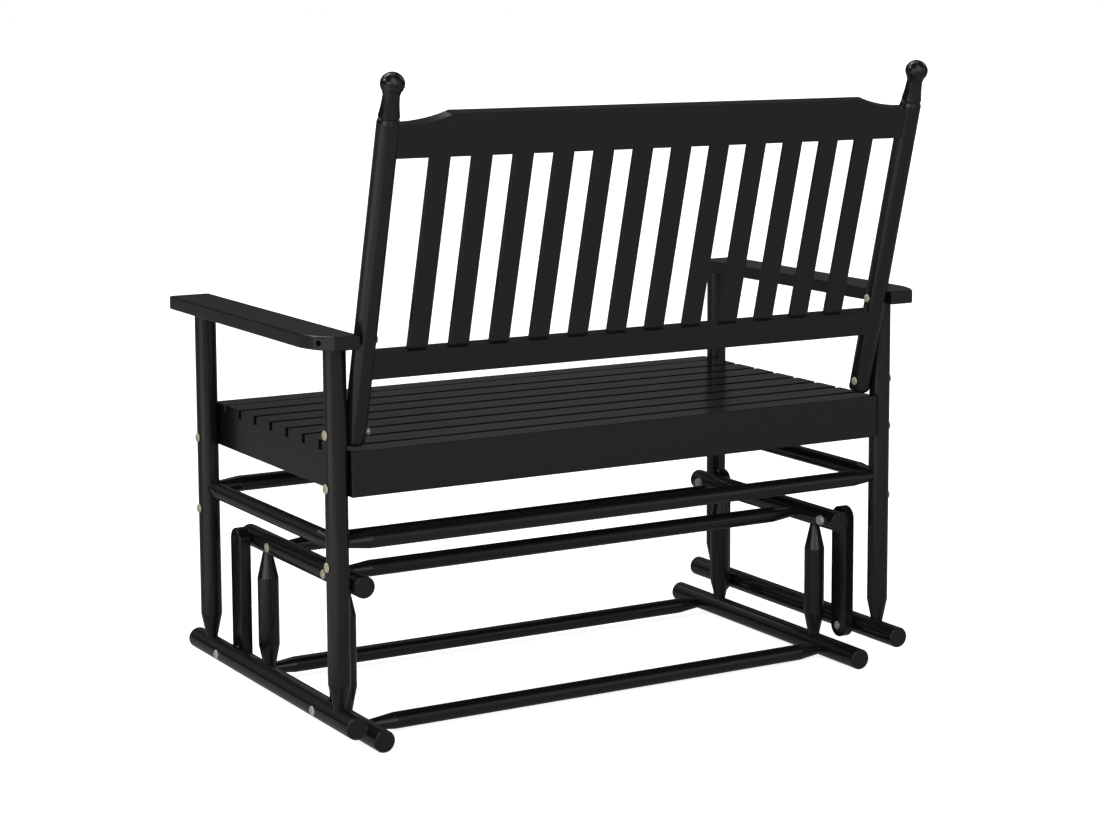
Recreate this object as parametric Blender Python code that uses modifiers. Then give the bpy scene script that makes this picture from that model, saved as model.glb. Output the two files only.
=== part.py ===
"""Two-seat porch swing bench in black painted wood, a glider on four hanging links.

A low base of round dowels stands on the floor and carries two short hanger rails. Four flat links
hang from the hanger rails, and the seat frame hangs from the feet of the links by its bottom rails,
so the seat swings forwards and backwards and stays level.

Frame: metres, +Z up, origin on the floor under the middle of the bench. The sitter faces -Y, and
the sitter's left is +X. The links hang plumb at rest.
"""

import math

import bmesh
import bpy
from mathutils import Matrix, Vector

# Round stock and clearances
DOWEL_RADIUS = 0.0175
CROSS_RADIUS = 0.0135
FIT = 0.0003
PIVOT_CLEARANCE = 0.002
END_CHAMFER = 0.0015

# Seat frame: posts, bottom rails and stretchers
POST_X = 0.509
POST_Y = 0.2545
SEAT_HEIGHT = 0.469
SEAT_RAIL_HEIGHT = 0.0543
SEAT_RAIL_OVERHANG = 0.0625
STRETCHER_DROP = 0.0709
STRETCHER_END_RADIUS = 0.009
STRETCHER_TAPER = 0.036
POST_FOOT_RADIUS = 0.0097
POST_FOOT_TAPER = 0.038
POST_SOCKET = 0.012
POST_TENON_RADIUS = 0.009

# Swing links
LINK_LENGTH = 0.191
LINK_WIDTH = 0.0405
LINK_THICKNESS = 0.020
LINK_EDGE = 0.0025
LINK_INSET = 0.0615

# Base: floor rails, uprights, hanger rails and cross dowels
FLOOR_RAIL_OVERHANG = 0.0955
HANGER_OVERHANG = 0.032
UPRIGHT_INSET = 0.043
UPRIGHT_TOP_RADIUS = 0.0082
UPRIGHT_TOP_TAPER = 0.042
UPRIGHT_FOOT_RADIUS = 0.0102
UPRIGHT_FOOT_TAPER = 0.036
UPRIGHT_SOCKET = 0.010
TOP_CROSS_INSET = 0.040
BASE_CROSS_END_RADIUS = 0.008
BASE_CROSS_TAPER = 0.045
BASE_CROSS_SOCKET = 0.010

# Seat panel: a frame of aprons, edge boards and a middle bearer, with seven slats between
SLAT_THICKNESS = 0.0138
SLAT_GAP = 0.0083
FRONT_SLAT_GAP = 0.0045
FRONT_BOARD_WIDTH = 0.0505
REAR_BOARD_WIDTH = 0.0466
SLAT_COUNT = 7
SLAT_EDGE = 0.002
APRON_HEIGHT = 0.057
SIDE_APRON_THICKNESS = 0.018
END_APRON_THICKNESS = 0.026
BEARER_THICKNESS = 0.030
PANEL_EDGE = 0.002

# Armrests
ARM_RISE = 0.182
ARM_THICKNESS = 0.022
ARM_WIDTH = 0.071
ARM_FRONT_OVERHANG = 0.0265
ARM_REAR_OVERHANG = 0.0555
ARM_CURVE_LENGTH = 0.0755
ARM_CURVE_RADIUS = 0.114
ARM_CORNER_RADIUS = 0.007
ARM_EDGE = 0.003
ARM_COUNTERBORE_RADIUS = 0.0045
ARM_COUNTERBORE_DEPTH = 0.030

# Backrest, measured along the leaning back posts from their lower bolt
BACK_LEAN = math.radians(15.19)
LOW_BOLT_RISE = 0.0257
BACK_SETBACK = 0.0069
BACK_POST_DROP = 0.0194
BACK_POST_END_RADIUS = 0.006
LOWER_RAIL_REACH = 0.0877
LOWER_RAIL_WIDTH = 0.0424
BACK_OPENING = 0.3073
CREST_WIDTH = 0.0669
SCOOP_RUN = 0.083
SCOOP_DROP = 0.0158
POST_ABOVE_CREST = 0.0078
SHOULDER_DROP = 0.0055
BACK_RAIL_THICKNESS = 0.022
BACK_RAIL_EDGE = 0.0015
BACK_TENON_THICKNESS = 0.010
BACK_TENON_LENGTH = 0.012
BACK_TENON_SHOULDER = 0.008
BACK_SLAT_COUNT = 12
BACK_SLAT_WIDTH = 0.0325
BACK_SLAT_THICKNESS = 0.010
BACK_SLAT_OFFSET = 0.0035
BACK_SLAT_MORTISE = 0.012
BACK_SLAT_EDGE = 0.0015

# Finial turned on top of each back post
FLARE_HEIGHT = 0.0035
FLARE_RADIUS = 0.0165
NECK_HEIGHT = 0.032
NECK_RADIUS = 0.0128
BALL_RADIUS = 0.0185
BALL_HEIGHT = 0.035

# Pivot bolts, and the holes for the small frame bolts
PIVOT_BOLT_RADIUS = 0.004
PIVOT_HEAD_RADIUS = 0.008
PIVOT_HEAD_HEIGHT = 0.003
PIVOT_NUT_RADIUS = 0.0085
PIVOT_NUT_HEIGHT = 0.006
PIVOT_CAP_RADIUS = 0.0075
PIVOT_CAP_HEIGHT = 0.0018
PIVOT_COLLAR_RADIUS = 0.0095
HEAD_SOCKET_RADIUS = 0.0025
HEAD_SOCKET_DEPTH = 0.0015
FRAME_HOLE_RADIUS = 0.0033
APRON_BOLT_RISE = 0.0146
APRON_BOLT_REACH = 0.048
POST_BOLT_DROP = 0.0352
POST_BOLT_REACH = 0.026
CROSS_BOLT_REACH = 0.040

# Smoothness of the solids
ROUND_STEPS = 20
SOCKET_STEPS = 12
HOLE_STEPS = 8
ARC_STEPS = 4
SMOOTH_ANGLE = math.radians(35)
BEVEL_ANGLE = math.radians(50)

# Positions across the bench that follow from the sizes above
BASE_X = POST_X - 2 * DOWEL_RADIUS - LINK_THICKNESS - 2 * PIVOT_CLEARANCE
LINK_X = (POST_X + BASE_X) / 2
SEAT_HALF_WIDTH = POST_X - DOWEL_RADIUS - FIT
ARM_INNER_X = POST_X - DOWEL_RADIUS
BACK_POST_X = POST_X - 2 * DOWEL_RADIUS - FIT
BACK_SLAT_PITCH = 2 * (BACK_POST_X - DOWEL_RADIUS) / (BACK_SLAT_COUNT + 1)

# Positions from front to rear that follow
SEAT_RAIL_LENGTH = 2 * (POST_Y + SEAT_RAIL_OVERHANG)
LINK_Y = POST_Y - LINK_INSET
FLOOR_RAIL_LENGTH = 2 * (LINK_Y + FLOOR_RAIL_OVERHANG)
HANGER_RAIL_LENGTH = 2 * (LINK_Y + HANGER_OVERHANG)
UPRIGHT_Y = LINK_Y - UPRIGHT_INSET
FLOOR_CROSS_Y = LINK_Y
TOP_CROSS_Y = UPRIGHT_Y - TOP_CROSS_INSET
SEAT_HALF_DEPTH = POST_Y + DOWEL_RADIUS
ARM_FRONT_Y = -POST_Y - ARM_FRONT_OVERHANG
ARM_REAR_Y = POST_Y + ARM_REAR_OVERHANG
ARM_CURVE_START_Y = ARM_REAR_Y - ARM_CURVE_LENGTH
BACK_AXIS_Y = POST_Y - BACK_SETBACK

# Heights that follow
HANGER_HEIGHT = SEAT_RAIL_HEIGHT + LINK_LENGTH
APRON_TOP = SEAT_HEIGHT - SLAT_THICKNESS - FIT
APRON_BOTTOM = APRON_TOP - APRON_HEIGHT
APRON_BOLT_HEIGHT = APRON_BOTTOM + APRON_BOLT_RISE
STRETCHER_HEIGHT = APRON_BOTTOM - STRETCHER_DROP
POST_BOLT_HEIGHT = STRETCHER_HEIGHT - POST_BOLT_DROP
ARM_TOP = SEAT_HEIGHT + ARM_RISE
ARM_BOTTOM = ARM_TOP - ARM_THICKNESS
ARM_BOLT_HEIGHT = ARM_TOP - ARM_THICKNESS / 2
LOW_BOLT_HEIGHT = SEAT_HEIGHT + LOW_BOLT_RISE

# Distances up the leaning back, and socket depths, that follow
CREST_REACH = LOWER_RAIL_REACH + LOWER_RAIL_WIDTH + BACK_OPENING
SHOULDER_REACH = CREST_REACH + CREST_WIDTH - SCOOP_DROP + POST_ABOVE_CREST
STRETCHER_SOCKET = DOWEL_RADIUS - STRETCHER_END_RADIUS - 3 * FIT

# The sides and ends of the bench, by the sitter's own left and front
SIDES = (("left", 1), ("right", -1))
ENDS = (("front", -1), ("rear", 1))
DRIVING_LINK = ("rear", "left")

# Colours read from the photograph, as sRGB
BLACK_PAINT = "#232324"
ZINC_STEEL = "#C9C6BC"


def linear_colour(hex_code):
    """Return the linear RGBA of an sRGB hex colour."""
    channels = [int(hex_code[i:i + 2], 16) / 255 for i in (1, 3, 5)]
    linear = [c / 12.92 if c <= 0.04045 else ((c + 0.055) / 1.055) ** 2.4 for c in channels]
    return (*linear, 1.0)


def principled(name, hex_code, roughness, metallic):
    """Make a Principled BSDF material."""
    material = bpy.data.materials.new(name)
    material.use_nodes = True
    shader = material.node_tree.nodes["Principled BSDF"]
    shader.inputs["Base Color"].default_value = linear_colour(hex_code)
    shader.inputs["Roughness"].default_value = roughness
    shader.inputs["Metallic"].default_value = metallic
    material.diffuse_color = linear_colour(hex_code)
    return material


class Bench:
    """The collections, materials and moving frames that the pieces are put in."""

    def __init__(self):
        for old in list(bpy.data.objects):
            bpy.data.objects.remove(old, do_unlink=True)
        self.parts = bpy.data.collections.new("swing_bench")
        self.cutters = bpy.data.collections.new("cutters")
        bpy.context.scene.collection.children.link(self.parts)
        bpy.context.scene.collection.children.link(self.cutters)
        self.wood = principled("black_painted_wood", BLACK_PAINT, 0.42, 0.0)
        self.steel = principled("zinc_plated_steel", ZINC_STEEL, 0.35, 1.0)
        self.seat_frame = self.empty("seat_swing_axis", pivot_place(*DRIVING_LINK, low=True))
        self.cutter_count = 0

    def empty(self, name, place):
        """Add an empty that stands on a joint's axis."""
        holder = bpy.data.objects.new(name, None)
        holder.empty_display_size = 0.05
        holder.location = place
        self.parts.objects.link(holder)
        return holder

    def add(self, obj, material, place, rotation=(0.0, 0.0, 0.0), parent=None):
        """Put a finished piece in its place in the world, under its moving frame if it has one."""
        obj.data.materials.clear()
        obj.data.materials.append(material)
        obj.parent = parent
        obj.location = Vector(place) - (parent.location if parent else Vector())
        obj.rotation_euler = rotation
        self.parts.objects.link(obj)
        return obj

    def combine(self, target, tool, operation="DIFFERENCE"):
        """Cut a tool solid from a piece or fuse it on. The tool stays hidden in its collection."""
        self.cutter_count += 1
        tool.name = f"cutter_{self.cutter_count:03d}"
        tool.hide_render = True
        tool.display_type = "WIRE"
        self.cutters.objects.link(tool)
        boolean = target.modifiers.new(tool.name, "BOOLEAN")
        boolean.operation = operation
        boolean.solver = "EXACT"
        boolean.object = tool

    def drill(self, target, start, direction, depth, radius, steps=SOCKET_STEPS):
        """Drill a round hole from a point on the surface, and start it clear of the surface."""
        direction = Vector(direction).normalized()
        lead = DOWEL_RADIUS
        flats_clear = radius / math.cos(math.pi / steps)
        mesh = bmesh.new()
        bmesh.ops.create_cone(
            mesh, cap_ends=True, segments=steps, radius1=flats_clear, radius2=flats_clear,
            depth=depth + lead, matrix=Matrix.Rotation(math.pi / steps, 4, "Z"))
        data = bpy.data.meshes.new("drill")
        mesh.to_mesh(data)
        mesh.free()
        hole = bpy.data.objects.new("drill", data)
        hole.rotation_euler = direction.to_track_quat("Z", "Y").to_euler()
        hole.location = Vector(start) + direction * (depth - lead) / 2
        self.combine(target, hole)

    def mortise(self, target, matrix, size):
        """Cut a square hole of the given size about the centre of the matrix."""
        block = box_object("mortise", size)
        block.matrix_world = matrix
        self.combine(target, block)


def turned_object(name, profile, steps=ROUND_STEPS):
    """Turn a profile of (radius, height) pairs, listed from top to bottom, about the Z axis."""
    data = bpy.data.meshes.new(name)
    points = [(radius, 0.0, height) for radius, height in profile]
    edges = [(i, i + 1) for i in range(len(points) - 1)]
    data.from_pydata(points, edges, [])
    obj = bpy.data.objects.new(name, data)
    screw = obj.modifiers.new("turning", "SCREW")
    screw.axis = "Z"
    screw.angle = 2 * math.pi
    screw.steps = steps
    screw.render_steps = steps
    screw.use_merge_vertices = True
    screw.merge_threshold = 0.00001
    screw.use_smooth_shade = True
    return obj


def box_object(name, size, edge=0.0):
    """Make a box with rounded edges, centred on its origin."""
    mesh = bmesh.new()
    bmesh.ops.create_cube(mesh, size=1.0)
    bmesh.ops.scale(mesh, vec=Vector(size), verts=mesh.verts)
    data = bpy.data.meshes.new(name)
    mesh.to_mesh(data)
    mesh.free()
    obj = bpy.data.objects.new(name, data)
    if edge:
        round_edges(obj, edge)
    return obj


def round_edges(obj, width):
    """Round the sharp edges of a piece."""
    bevel = obj.modifiers.new("rounded_edges", "BEVEL")
    bevel.width = width
    bevel.segments = 2
    bevel.limit_method = "ANGLE"
    bevel.angle_limit = BEVEL_ANGLE


def outline_object(name, points, thickness, edge):
    """Make a board from a flat outline, with its thickness centred on the outline's plane."""
    curve = bpy.data.curves.new(name + "_outline", "CURVE")
    curve.dimensions = "2D"
    curve.fill_mode = "BOTH"
    curve.extrude = thickness / 2
    spline = curve.splines.new("POLY")
    spline.points.add(len(points) - 1)
    for point, (x, y) in zip(spline.points, points):
        point.co = (x, y, 0.0, 1.0)
    spline.use_cyclic_u = True
    drawing = bpy.data.objects.new(name + "_outline", curve)
    bpy.context.scene.collection.objects.link(drawing)
    graph = bpy.context.evaluated_depsgraph_get()
    data = bpy.data.meshes.new_from_object(drawing.evaluated_get(graph))
    bpy.data.objects.remove(drawing, do_unlink=True)
    mesh = bmesh.new()
    mesh.from_mesh(data)
    bmesh.ops.remove_doubles(mesh, verts=mesh.verts, dist=0.00001)
    bmesh.ops.dissolve_limit(mesh, angle_limit=0.01, verts=mesh.verts, edges=mesh.edges)
    bmesh.ops.recalc_face_normals(mesh, faces=mesh.faces)
    mesh.to_mesh(data)
    mesh.free()
    data.name = name
    data.shade_smooth()
    data.set_sharp_from_angle(angle=SMOOTH_ANGLE)
    obj = bpy.data.objects.new(name, data)
    if edge:
        round_edges(obj, edge)
    return obj


def arc_points(centre, radius, start, end, steps=ARC_STEPS):
    """Return points along an arc about a centre, between two angles in radians."""
    angles = [start + (end - start) * i / steps for i in range(steps + 1)]
    return [(centre[0] + radius * math.cos(a), centre[1] + radius * math.sin(a)) for a in angles]


def dowel_profile(length):
    """Return the profile of a plain dowel with a small chamfer at both ends."""
    half = length / 2
    rim = DOWEL_RADIUS - END_CHAMFER
    return [(0, half), (rim, half), (DOWEL_RADIUS, half - END_CHAMFER),
            (DOWEL_RADIUS, END_CHAMFER - half), (rim, -half), (0, -half)]


def cross_profile(half_span, socket, end_radius, taper):
    """Return the profile of a cross dowel whose tapered ends run on into their sockets."""
    end = half_span + socket - FIT
    full = half_span - taper
    return [(0, end), (end_radius, end), (end_radius, half_span), (CROSS_RADIUS, full),
            (CROSS_RADIUS, -full), (end_radius, -half_span), (end_radius, -end), (0, -end)]


def pivot_place(end, side, low=False):
    """Return the pivot of a swing link: its top one, or its low one."""
    y = dict(ENDS)[end] * LINK_Y
    x = dict(SIDES)[side] * LINK_X
    return Vector((x, y, SEAT_RAIL_HEIGHT if low else HANGER_HEIGHT))


def back_place(x, along, out=0.0):
    """Return the world point at a distance along the leaning back and behind its plane."""
    y = BACK_AXIS_Y + along * math.sin(BACK_LEAN) + out * math.cos(BACK_LEAN)
    z = LOW_BOLT_HEIGHT + along * math.cos(BACK_LEAN) - out * math.sin(BACK_LEAN)
    return Vector((x, y, z))


def back_matrix(x, along, out=0.0):
    """Return a frame on the back: X across, Y up the back, Z out of its front face."""
    turn = Matrix.Rotation(math.pi / 2 - BACK_LEAN, 4, "X")
    return Matrix.Translation(back_place(x, along, out)) @ turn


def reach_to_height(height):
    """Return how far along the leaning back a height is."""
    return (height - LOW_BOLT_HEIGHT) / math.cos(BACK_LEAN)


ALONG_X = (0.0, math.pi / 2, 0.0)
ALONG_Y = (-math.pi / 2, 0.0, 0.0)
LINK_TURN = (math.pi / 2, 0.0, math.pi / 2)
BACK_BOARD_TURN = (math.pi / 2 - BACK_LEAN, 0.0, 0.0)
BACK_POST_TURN = (-BACK_LEAN, 0.0, 0.0)
ARM_BOLT_Y = back_place(0, reach_to_height(ARM_BOLT_HEIGHT)).y


def add_base(bench):
    """Build the base: two floor rails, four uprights, two hanger rails and four cross dowels."""
    inner_x = BASE_X - DOWEL_RADIUS
    for side, sign in SIDES:
        floor_rail = turned_object(f"base_floor_rail_{side}", dowel_profile(FLOOR_RAIL_LENGTH))
        bench.add(floor_rail, bench.wood, (sign * BASE_X, 0, DOWEL_RADIUS), ALONG_Y)
        hanger = turned_object(f"base_hanger_rail_{side}", dowel_profile(HANGER_RAIL_LENGTH))
        bench.add(hanger, bench.wood, (sign * BASE_X, 0, HANGER_HEIGHT), ALONG_Y)
        for end, way in ENDS:
            add_upright(bench, side, sign, end, way, floor_rail, hanger)
            bench.drill(floor_rail, (sign * inner_x, way * FLOOR_CROSS_Y, DOWEL_RADIUS),
                        (sign, 0, 0), BASE_CROSS_SOCKET, BASE_CROSS_END_RADIUS + FIT)
            bench.drill(hanger, (sign * inner_x, way * TOP_CROSS_Y, HANGER_HEIGHT),
                        (sign, 0, 0), BASE_CROSS_SOCKET, BASE_CROSS_END_RADIUS + FIT)
            bench.drill(hanger, (sign * (BASE_X + DOWEL_RADIUS), way * TOP_CROSS_Y, HANGER_HEIGHT),
                        (-sign, 0, 0), 3 * DOWEL_RADIUS, FRAME_HOLE_RADIUS, HOLE_STEPS)
            bench.drill(hanger, (sign * (BASE_X + DOWEL_RADIUS), way * LINK_Y, HANGER_HEIGHT),
                        (-sign, 0, 0), 3 * DOWEL_RADIUS, PIVOT_BOLT_RADIUS + FIT)
    for end, way in ENDS:
        profile = cross_profile(inner_x, BASE_CROSS_SOCKET, BASE_CROSS_END_RADIUS, BASE_CROSS_TAPER)
        floor_cross = turned_object(f"base_floor_cross_{end}", profile)
        bench.add(floor_cross, bench.wood, (0, way * FLOOR_CROSS_Y, DOWEL_RADIUS), ALONG_X)
        top_cross = turned_object(f"base_top_cross_{end}", profile)
        bench.add(top_cross, bench.wood, (0, way * TOP_CROSS_Y, HANGER_HEIGHT), ALONG_X)
        for _, sign in SIDES:
            cross_end = (sign * (inner_x + BASE_CROSS_SOCKET - FIT), way * TOP_CROSS_Y, HANGER_HEIGHT)
            bench.drill(top_cross, cross_end, (-sign, 0, 0), CROSS_BOLT_REACH,
                        FRAME_HOLE_RADIUS, HOLE_STEPS)


def add_upright(bench, side, sign, end, way, floor_rail, hanger):
    """Turn one upright and bore its sockets in the floor rail and the hanger rail."""
    foot = 2 * DOWEL_RADIUS
    top = HANGER_HEIGHT - DOWEL_RADIUS
    reach = UPRIGHT_SOCKET - FIT
    profile = [
        (0, top + reach),
        (UPRIGHT_TOP_RADIUS, top + reach),
        (UPRIGHT_TOP_RADIUS, top),
        (DOWEL_RADIUS, top - UPRIGHT_TOP_TAPER),
        (DOWEL_RADIUS, foot + UPRIGHT_FOOT_TAPER),
        (UPRIGHT_FOOT_RADIUS, foot),
        (UPRIGHT_FOOT_RADIUS, foot - reach),
        (0, foot - reach),
    ]
    place = (sign * BASE_X, way * UPRIGHT_Y, 0)
    bench.add(turned_object(f"base_upright_{end}_{side}", profile), bench.wood, place)
    bench.drill(floor_rail, (place[0], place[1], foot), (0, 0, -1), UPRIGHT_SOCKET,
                UPRIGHT_FOOT_RADIUS + FIT)
    bench.drill(hanger, (place[0], place[1], top), (0, 0, 1), UPRIGHT_SOCKET,
                UPRIGHT_TOP_RADIUS + FIT)


def add_links(bench):
    """Build the four swing links, each with its origin on its top pivot."""
    half = LINK_WIDTH / 2
    steps = 2 * ARC_STEPS
    points = arc_points((0, 0), half, 0, math.pi, steps)
    points += arc_points((0, -LINK_LENGTH), half, math.pi, 2 * math.pi, steps)
    for end, _ in ENDS:
        for side, _ in SIDES:
            link = outline_object(f"swing_link_{end}_{side}", points, LINK_THICKNESS, LINK_EDGE)
            bench.add(link, bench.wood, pivot_place(end, side), LINK_TURN)
            for low in (False, True):
                centre = pivot_place(end, side, low)
                start = centre + Vector((LINK_THICKNESS / 2, 0, 0))
                bench.drill(link, start, (-1, 0, 0), 2 * LINK_THICKNESS,
                            PIVOT_BOLT_RADIUS + FIT, ROUND_STEPS)


def add_seat_frame(bench):
    """Build the posts, bottom rails, side stretchers and long stretchers of the seat frame."""
    frame = bench.seat_frame
    post_inner_x = POST_X - DOWEL_RADIUS
    post_inner_y = POST_Y - DOWEL_RADIUS
    for side, sign in SIDES:
        rail = turned_object(f"seat_bottom_rail_{side}", dowel_profile(SEAT_RAIL_LENGTH))
        bench.add(rail, bench.wood, (sign * POST_X, 0, SEAT_RAIL_HEIGHT), ALONG_Y, frame)
        profile = cross_profile(
            post_inner_y, STRETCHER_SOCKET, STRETCHER_END_RADIUS, STRETCHER_TAPER)
        stretcher = turned_object(f"seat_side_stretcher_{side}", profile)
        bench.add(stretcher, bench.wood, (sign * POST_X, 0, STRETCHER_HEIGHT), ALONG_Y, frame)
        for end, way in ENDS:
            add_post(bench, side, sign, end, way, rail)
            bench.drill(rail, (sign * (POST_X + DOWEL_RADIUS), way * LINK_Y, SEAT_RAIL_HEIGHT),
                        (-sign, 0, 0), 3 * DOWEL_RADIUS, PIVOT_BOLT_RADIUS + FIT)
    for end, way in ENDS:
        profile = cross_profile(
            post_inner_x, STRETCHER_SOCKET, STRETCHER_END_RADIUS, STRETCHER_TAPER)
        stretcher = turned_object(f"seat_{end}_stretcher", profile)
        bench.add(stretcher, bench.wood, (0, way * POST_Y, STRETCHER_HEIGHT), ALONG_X, frame)


def add_post(bench, side, sign, end, way, rail):
    """Turn one seat post, bore its socket in the bottom rail and drill its own holes."""
    rail_top = SEAT_RAIL_HEIGHT + DOWEL_RADIUS
    top = ARM_BOTTOM - FIT
    reach = POST_SOCKET - FIT
    profile = [
        (0, top + reach),
        (POST_TENON_RADIUS, top + reach),
        (POST_TENON_RADIUS, top),
        (DOWEL_RADIUS, top),
        (DOWEL_RADIUS, rail_top + POST_FOOT_TAPER),
        (POST_FOOT_RADIUS, rail_top),
        (POST_FOOT_RADIUS, rail_top - reach),
        (0, rail_top - reach),
    ]
    x, y = sign * POST_X, way * POST_Y
    post = turned_object(f"seat_post_{end}_{side}", profile)
    bench.add(post, bench.wood, (x, y, 0), parent=bench.seat_frame)
    bench.drill(rail, (x, y, rail_top), (0, 0, -1), POST_SOCKET, POST_FOOT_RADIUS + FIT)
    bench.drill(post, (x - sign * DOWEL_RADIUS, y, STRETCHER_HEIGHT), (sign, 0, 0),
                STRETCHER_SOCKET, STRETCHER_END_RADIUS + FIT)
    bench.drill(post, (x, y - way * DOWEL_RADIUS, STRETCHER_HEIGHT), (0, way, 0),
                STRETCHER_SOCKET, STRETCHER_END_RADIUS + FIT)
    outer = x + sign * DOWEL_RADIUS
    through = 3 * DOWEL_RADIUS
    holes = [(APRON_BOLT_HEIGHT, through), (POST_BOLT_HEIGHT, POST_BOLT_REACH)]
    if end == "rear":
        holes.append((LOW_BOLT_HEIGHT, through))
    for height, depth in holes:
        bench.drill(post, (outer, y, height), (-sign, 0, 0), depth, FRAME_HOLE_RADIUS, HOLE_STEPS)


def add_seat_panel(bench):
    """Build the panel's frame and the seven slats that lie across it."""
    frame = bench.seat_frame
    height = SEAT_HEIGHT - APRON_BOTTOM
    size = (2 * SEAT_HALF_WIDTH, 2 * SEAT_HALF_DEPTH, height)
    panel = box_object("seat_panel_frame", size, PANEL_EDGE)
    bench.add(panel, bench.wood, (0, 0, SEAT_HEIGHT - height / 2), parent=frame)
    cut_panel(bench, panel)
    for _, sign in SIDES:
        for _, way in ENDS:
            bench.drill(panel, (sign * SEAT_HALF_WIDTH, way * POST_Y, APRON_BOLT_HEIGHT),
                        (-sign, 0, 0), APRON_BOLT_REACH, FRAME_HOLE_RADIUS, HOLE_STEPS)
    for number, (front, rear) in enumerate(slat_spans(), start=1):
        size = (2 * SEAT_HALF_WIDTH, rear - front, SLAT_THICKNESS)
        slat = box_object(f"seat_slat_{number:02d}", size, SLAT_EDGE)
        place = (0, (front + rear) / 2, SEAT_HEIGHT - SLAT_THICKNESS / 2)
        bench.add(slat, bench.wood, place, parent=frame)


def slat_spans():
    """Return the front and rear edge of each slat between the edge boards, from the front."""
    front = -SEAT_HALF_DEPTH + FRONT_BOARD_WIDTH + FRONT_SLAT_GAP
    rear = SEAT_HALF_DEPTH - REAR_BOARD_WIDTH
    pitch = (rear - front) / SLAT_COUNT
    fronts = [front + number * pitch for number in range(SLAT_COUNT)]
    return [(edge, edge + pitch - SLAT_GAP) for edge in fronts]


def cut_panel(bench, panel):
    """Hollow the panel's two bays, and rebate its aprons and bearer for the slats.

    Each bay is wide below, where it runs under the edge boards, and open between them above.
    """
    front = -SEAT_HALF_DEPTH + FRONT_BOARD_WIDTH
    rear = SEAT_HALF_DEPTH - REAR_BOARD_WIDTH
    inner_y = SEAT_HALF_DEPTH - END_APRON_THICKNESS
    inner_x = SEAT_HALF_WIDTH - SIDE_APRON_THICKNESS
    below = APRON_BOTTOM - APRON_HEIGHT
    above = SEAT_HEIGHT + APRON_HEIGHT
    outline = [(-inner_y, below), (inner_y, below), (inner_y, APRON_TOP), (rear, APRON_TOP),
               (rear, above), (front, above), (front, APRON_TOP), (-inner_y, APRON_TOP)]
    for _, sign in SIDES:
        bay = outline_object("bay", outline, inner_x - BEARER_THICKNESS / 2, 0.0)
        bay.rotation_euler = LINK_TURN
        bay.location = (sign * (inner_x + BEARER_THICKNESS / 2) / 2, 0, 0)
        bench.combine(panel, bay)
    rebate = (3 * SEAT_HALF_WIDTH, rear - front, 2 * (SEAT_HEIGHT - APRON_TOP))
    bench.mortise(panel, Matrix.Translation((0, (front + rear) / 2, SEAT_HEIGHT)), rebate)


def add_armrests(bench):
    """Build the two armrests, which sit on the posts and are bolted to the back posts."""
    outer_x = ARM_INNER_X + ARM_WIDTH
    rear_angle = math.asin((ARM_REAR_Y - ARM_CURVE_START_Y) / ARM_CURVE_RADIUS)
    curve_centre = (outer_x - ARM_CURVE_RADIUS, ARM_CURVE_START_Y)
    corner = ARM_CORNER_RADIUS
    outline = arc_points((ARM_INNER_X + corner, ARM_FRONT_Y + corner), corner,
                         math.pi, 1.5 * math.pi, ARC_STEPS // 2)
    outline += arc_points((outer_x - corner, ARM_FRONT_Y + corner), corner,
                          1.5 * math.pi, 2 * math.pi, ARC_STEPS // 2)
    outline += arc_points(curve_centre, ARM_CURVE_RADIUS, 0.0, rear_angle)
    outline.append((ARM_INNER_X, ARM_REAR_Y))
    edge_x = arm_outer_x(ARM_BOLT_Y)
    for side, sign in SIDES:
        points = [(sign * x, y) for x, y in outline]
        arm = outline_object(f"armrest_{side}", points, ARM_THICKNESS, ARM_EDGE)
        bench.add(arm, bench.wood, (0, 0, ARM_BOTTOM + ARM_THICKNESS / 2), parent=bench.seat_frame)
        for _, way in ENDS:
            bench.drill(arm, (sign * POST_X, way * POST_Y, ARM_BOTTOM), (0, 0, 1), POST_SOCKET,
                        POST_TENON_RADIUS + FIT)
        start = (sign * edge_x, ARM_BOLT_Y, ARM_BOLT_HEIGHT)
        bench.drill(arm, start, (-sign, 0, 0), ARM_WIDTH + DOWEL_RADIUS, FRAME_HOLE_RADIUS,
                    HOLE_STEPS)
        bench.drill(arm, start, (-sign, 0, 0), ARM_COUNTERBORE_DEPTH, ARM_COUNTERBORE_RADIUS)


def arm_outer_x(y):
    """Return where the armrest's curved outer edge lies at a place along it."""
    rise = max(y - ARM_CURVE_START_Y, 0.0)
    drop = ARM_CURVE_RADIUS - math.sqrt(ARM_CURVE_RADIUS ** 2 - rise ** 2)
    return ARM_INNER_X + ARM_WIDTH - drop


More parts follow.
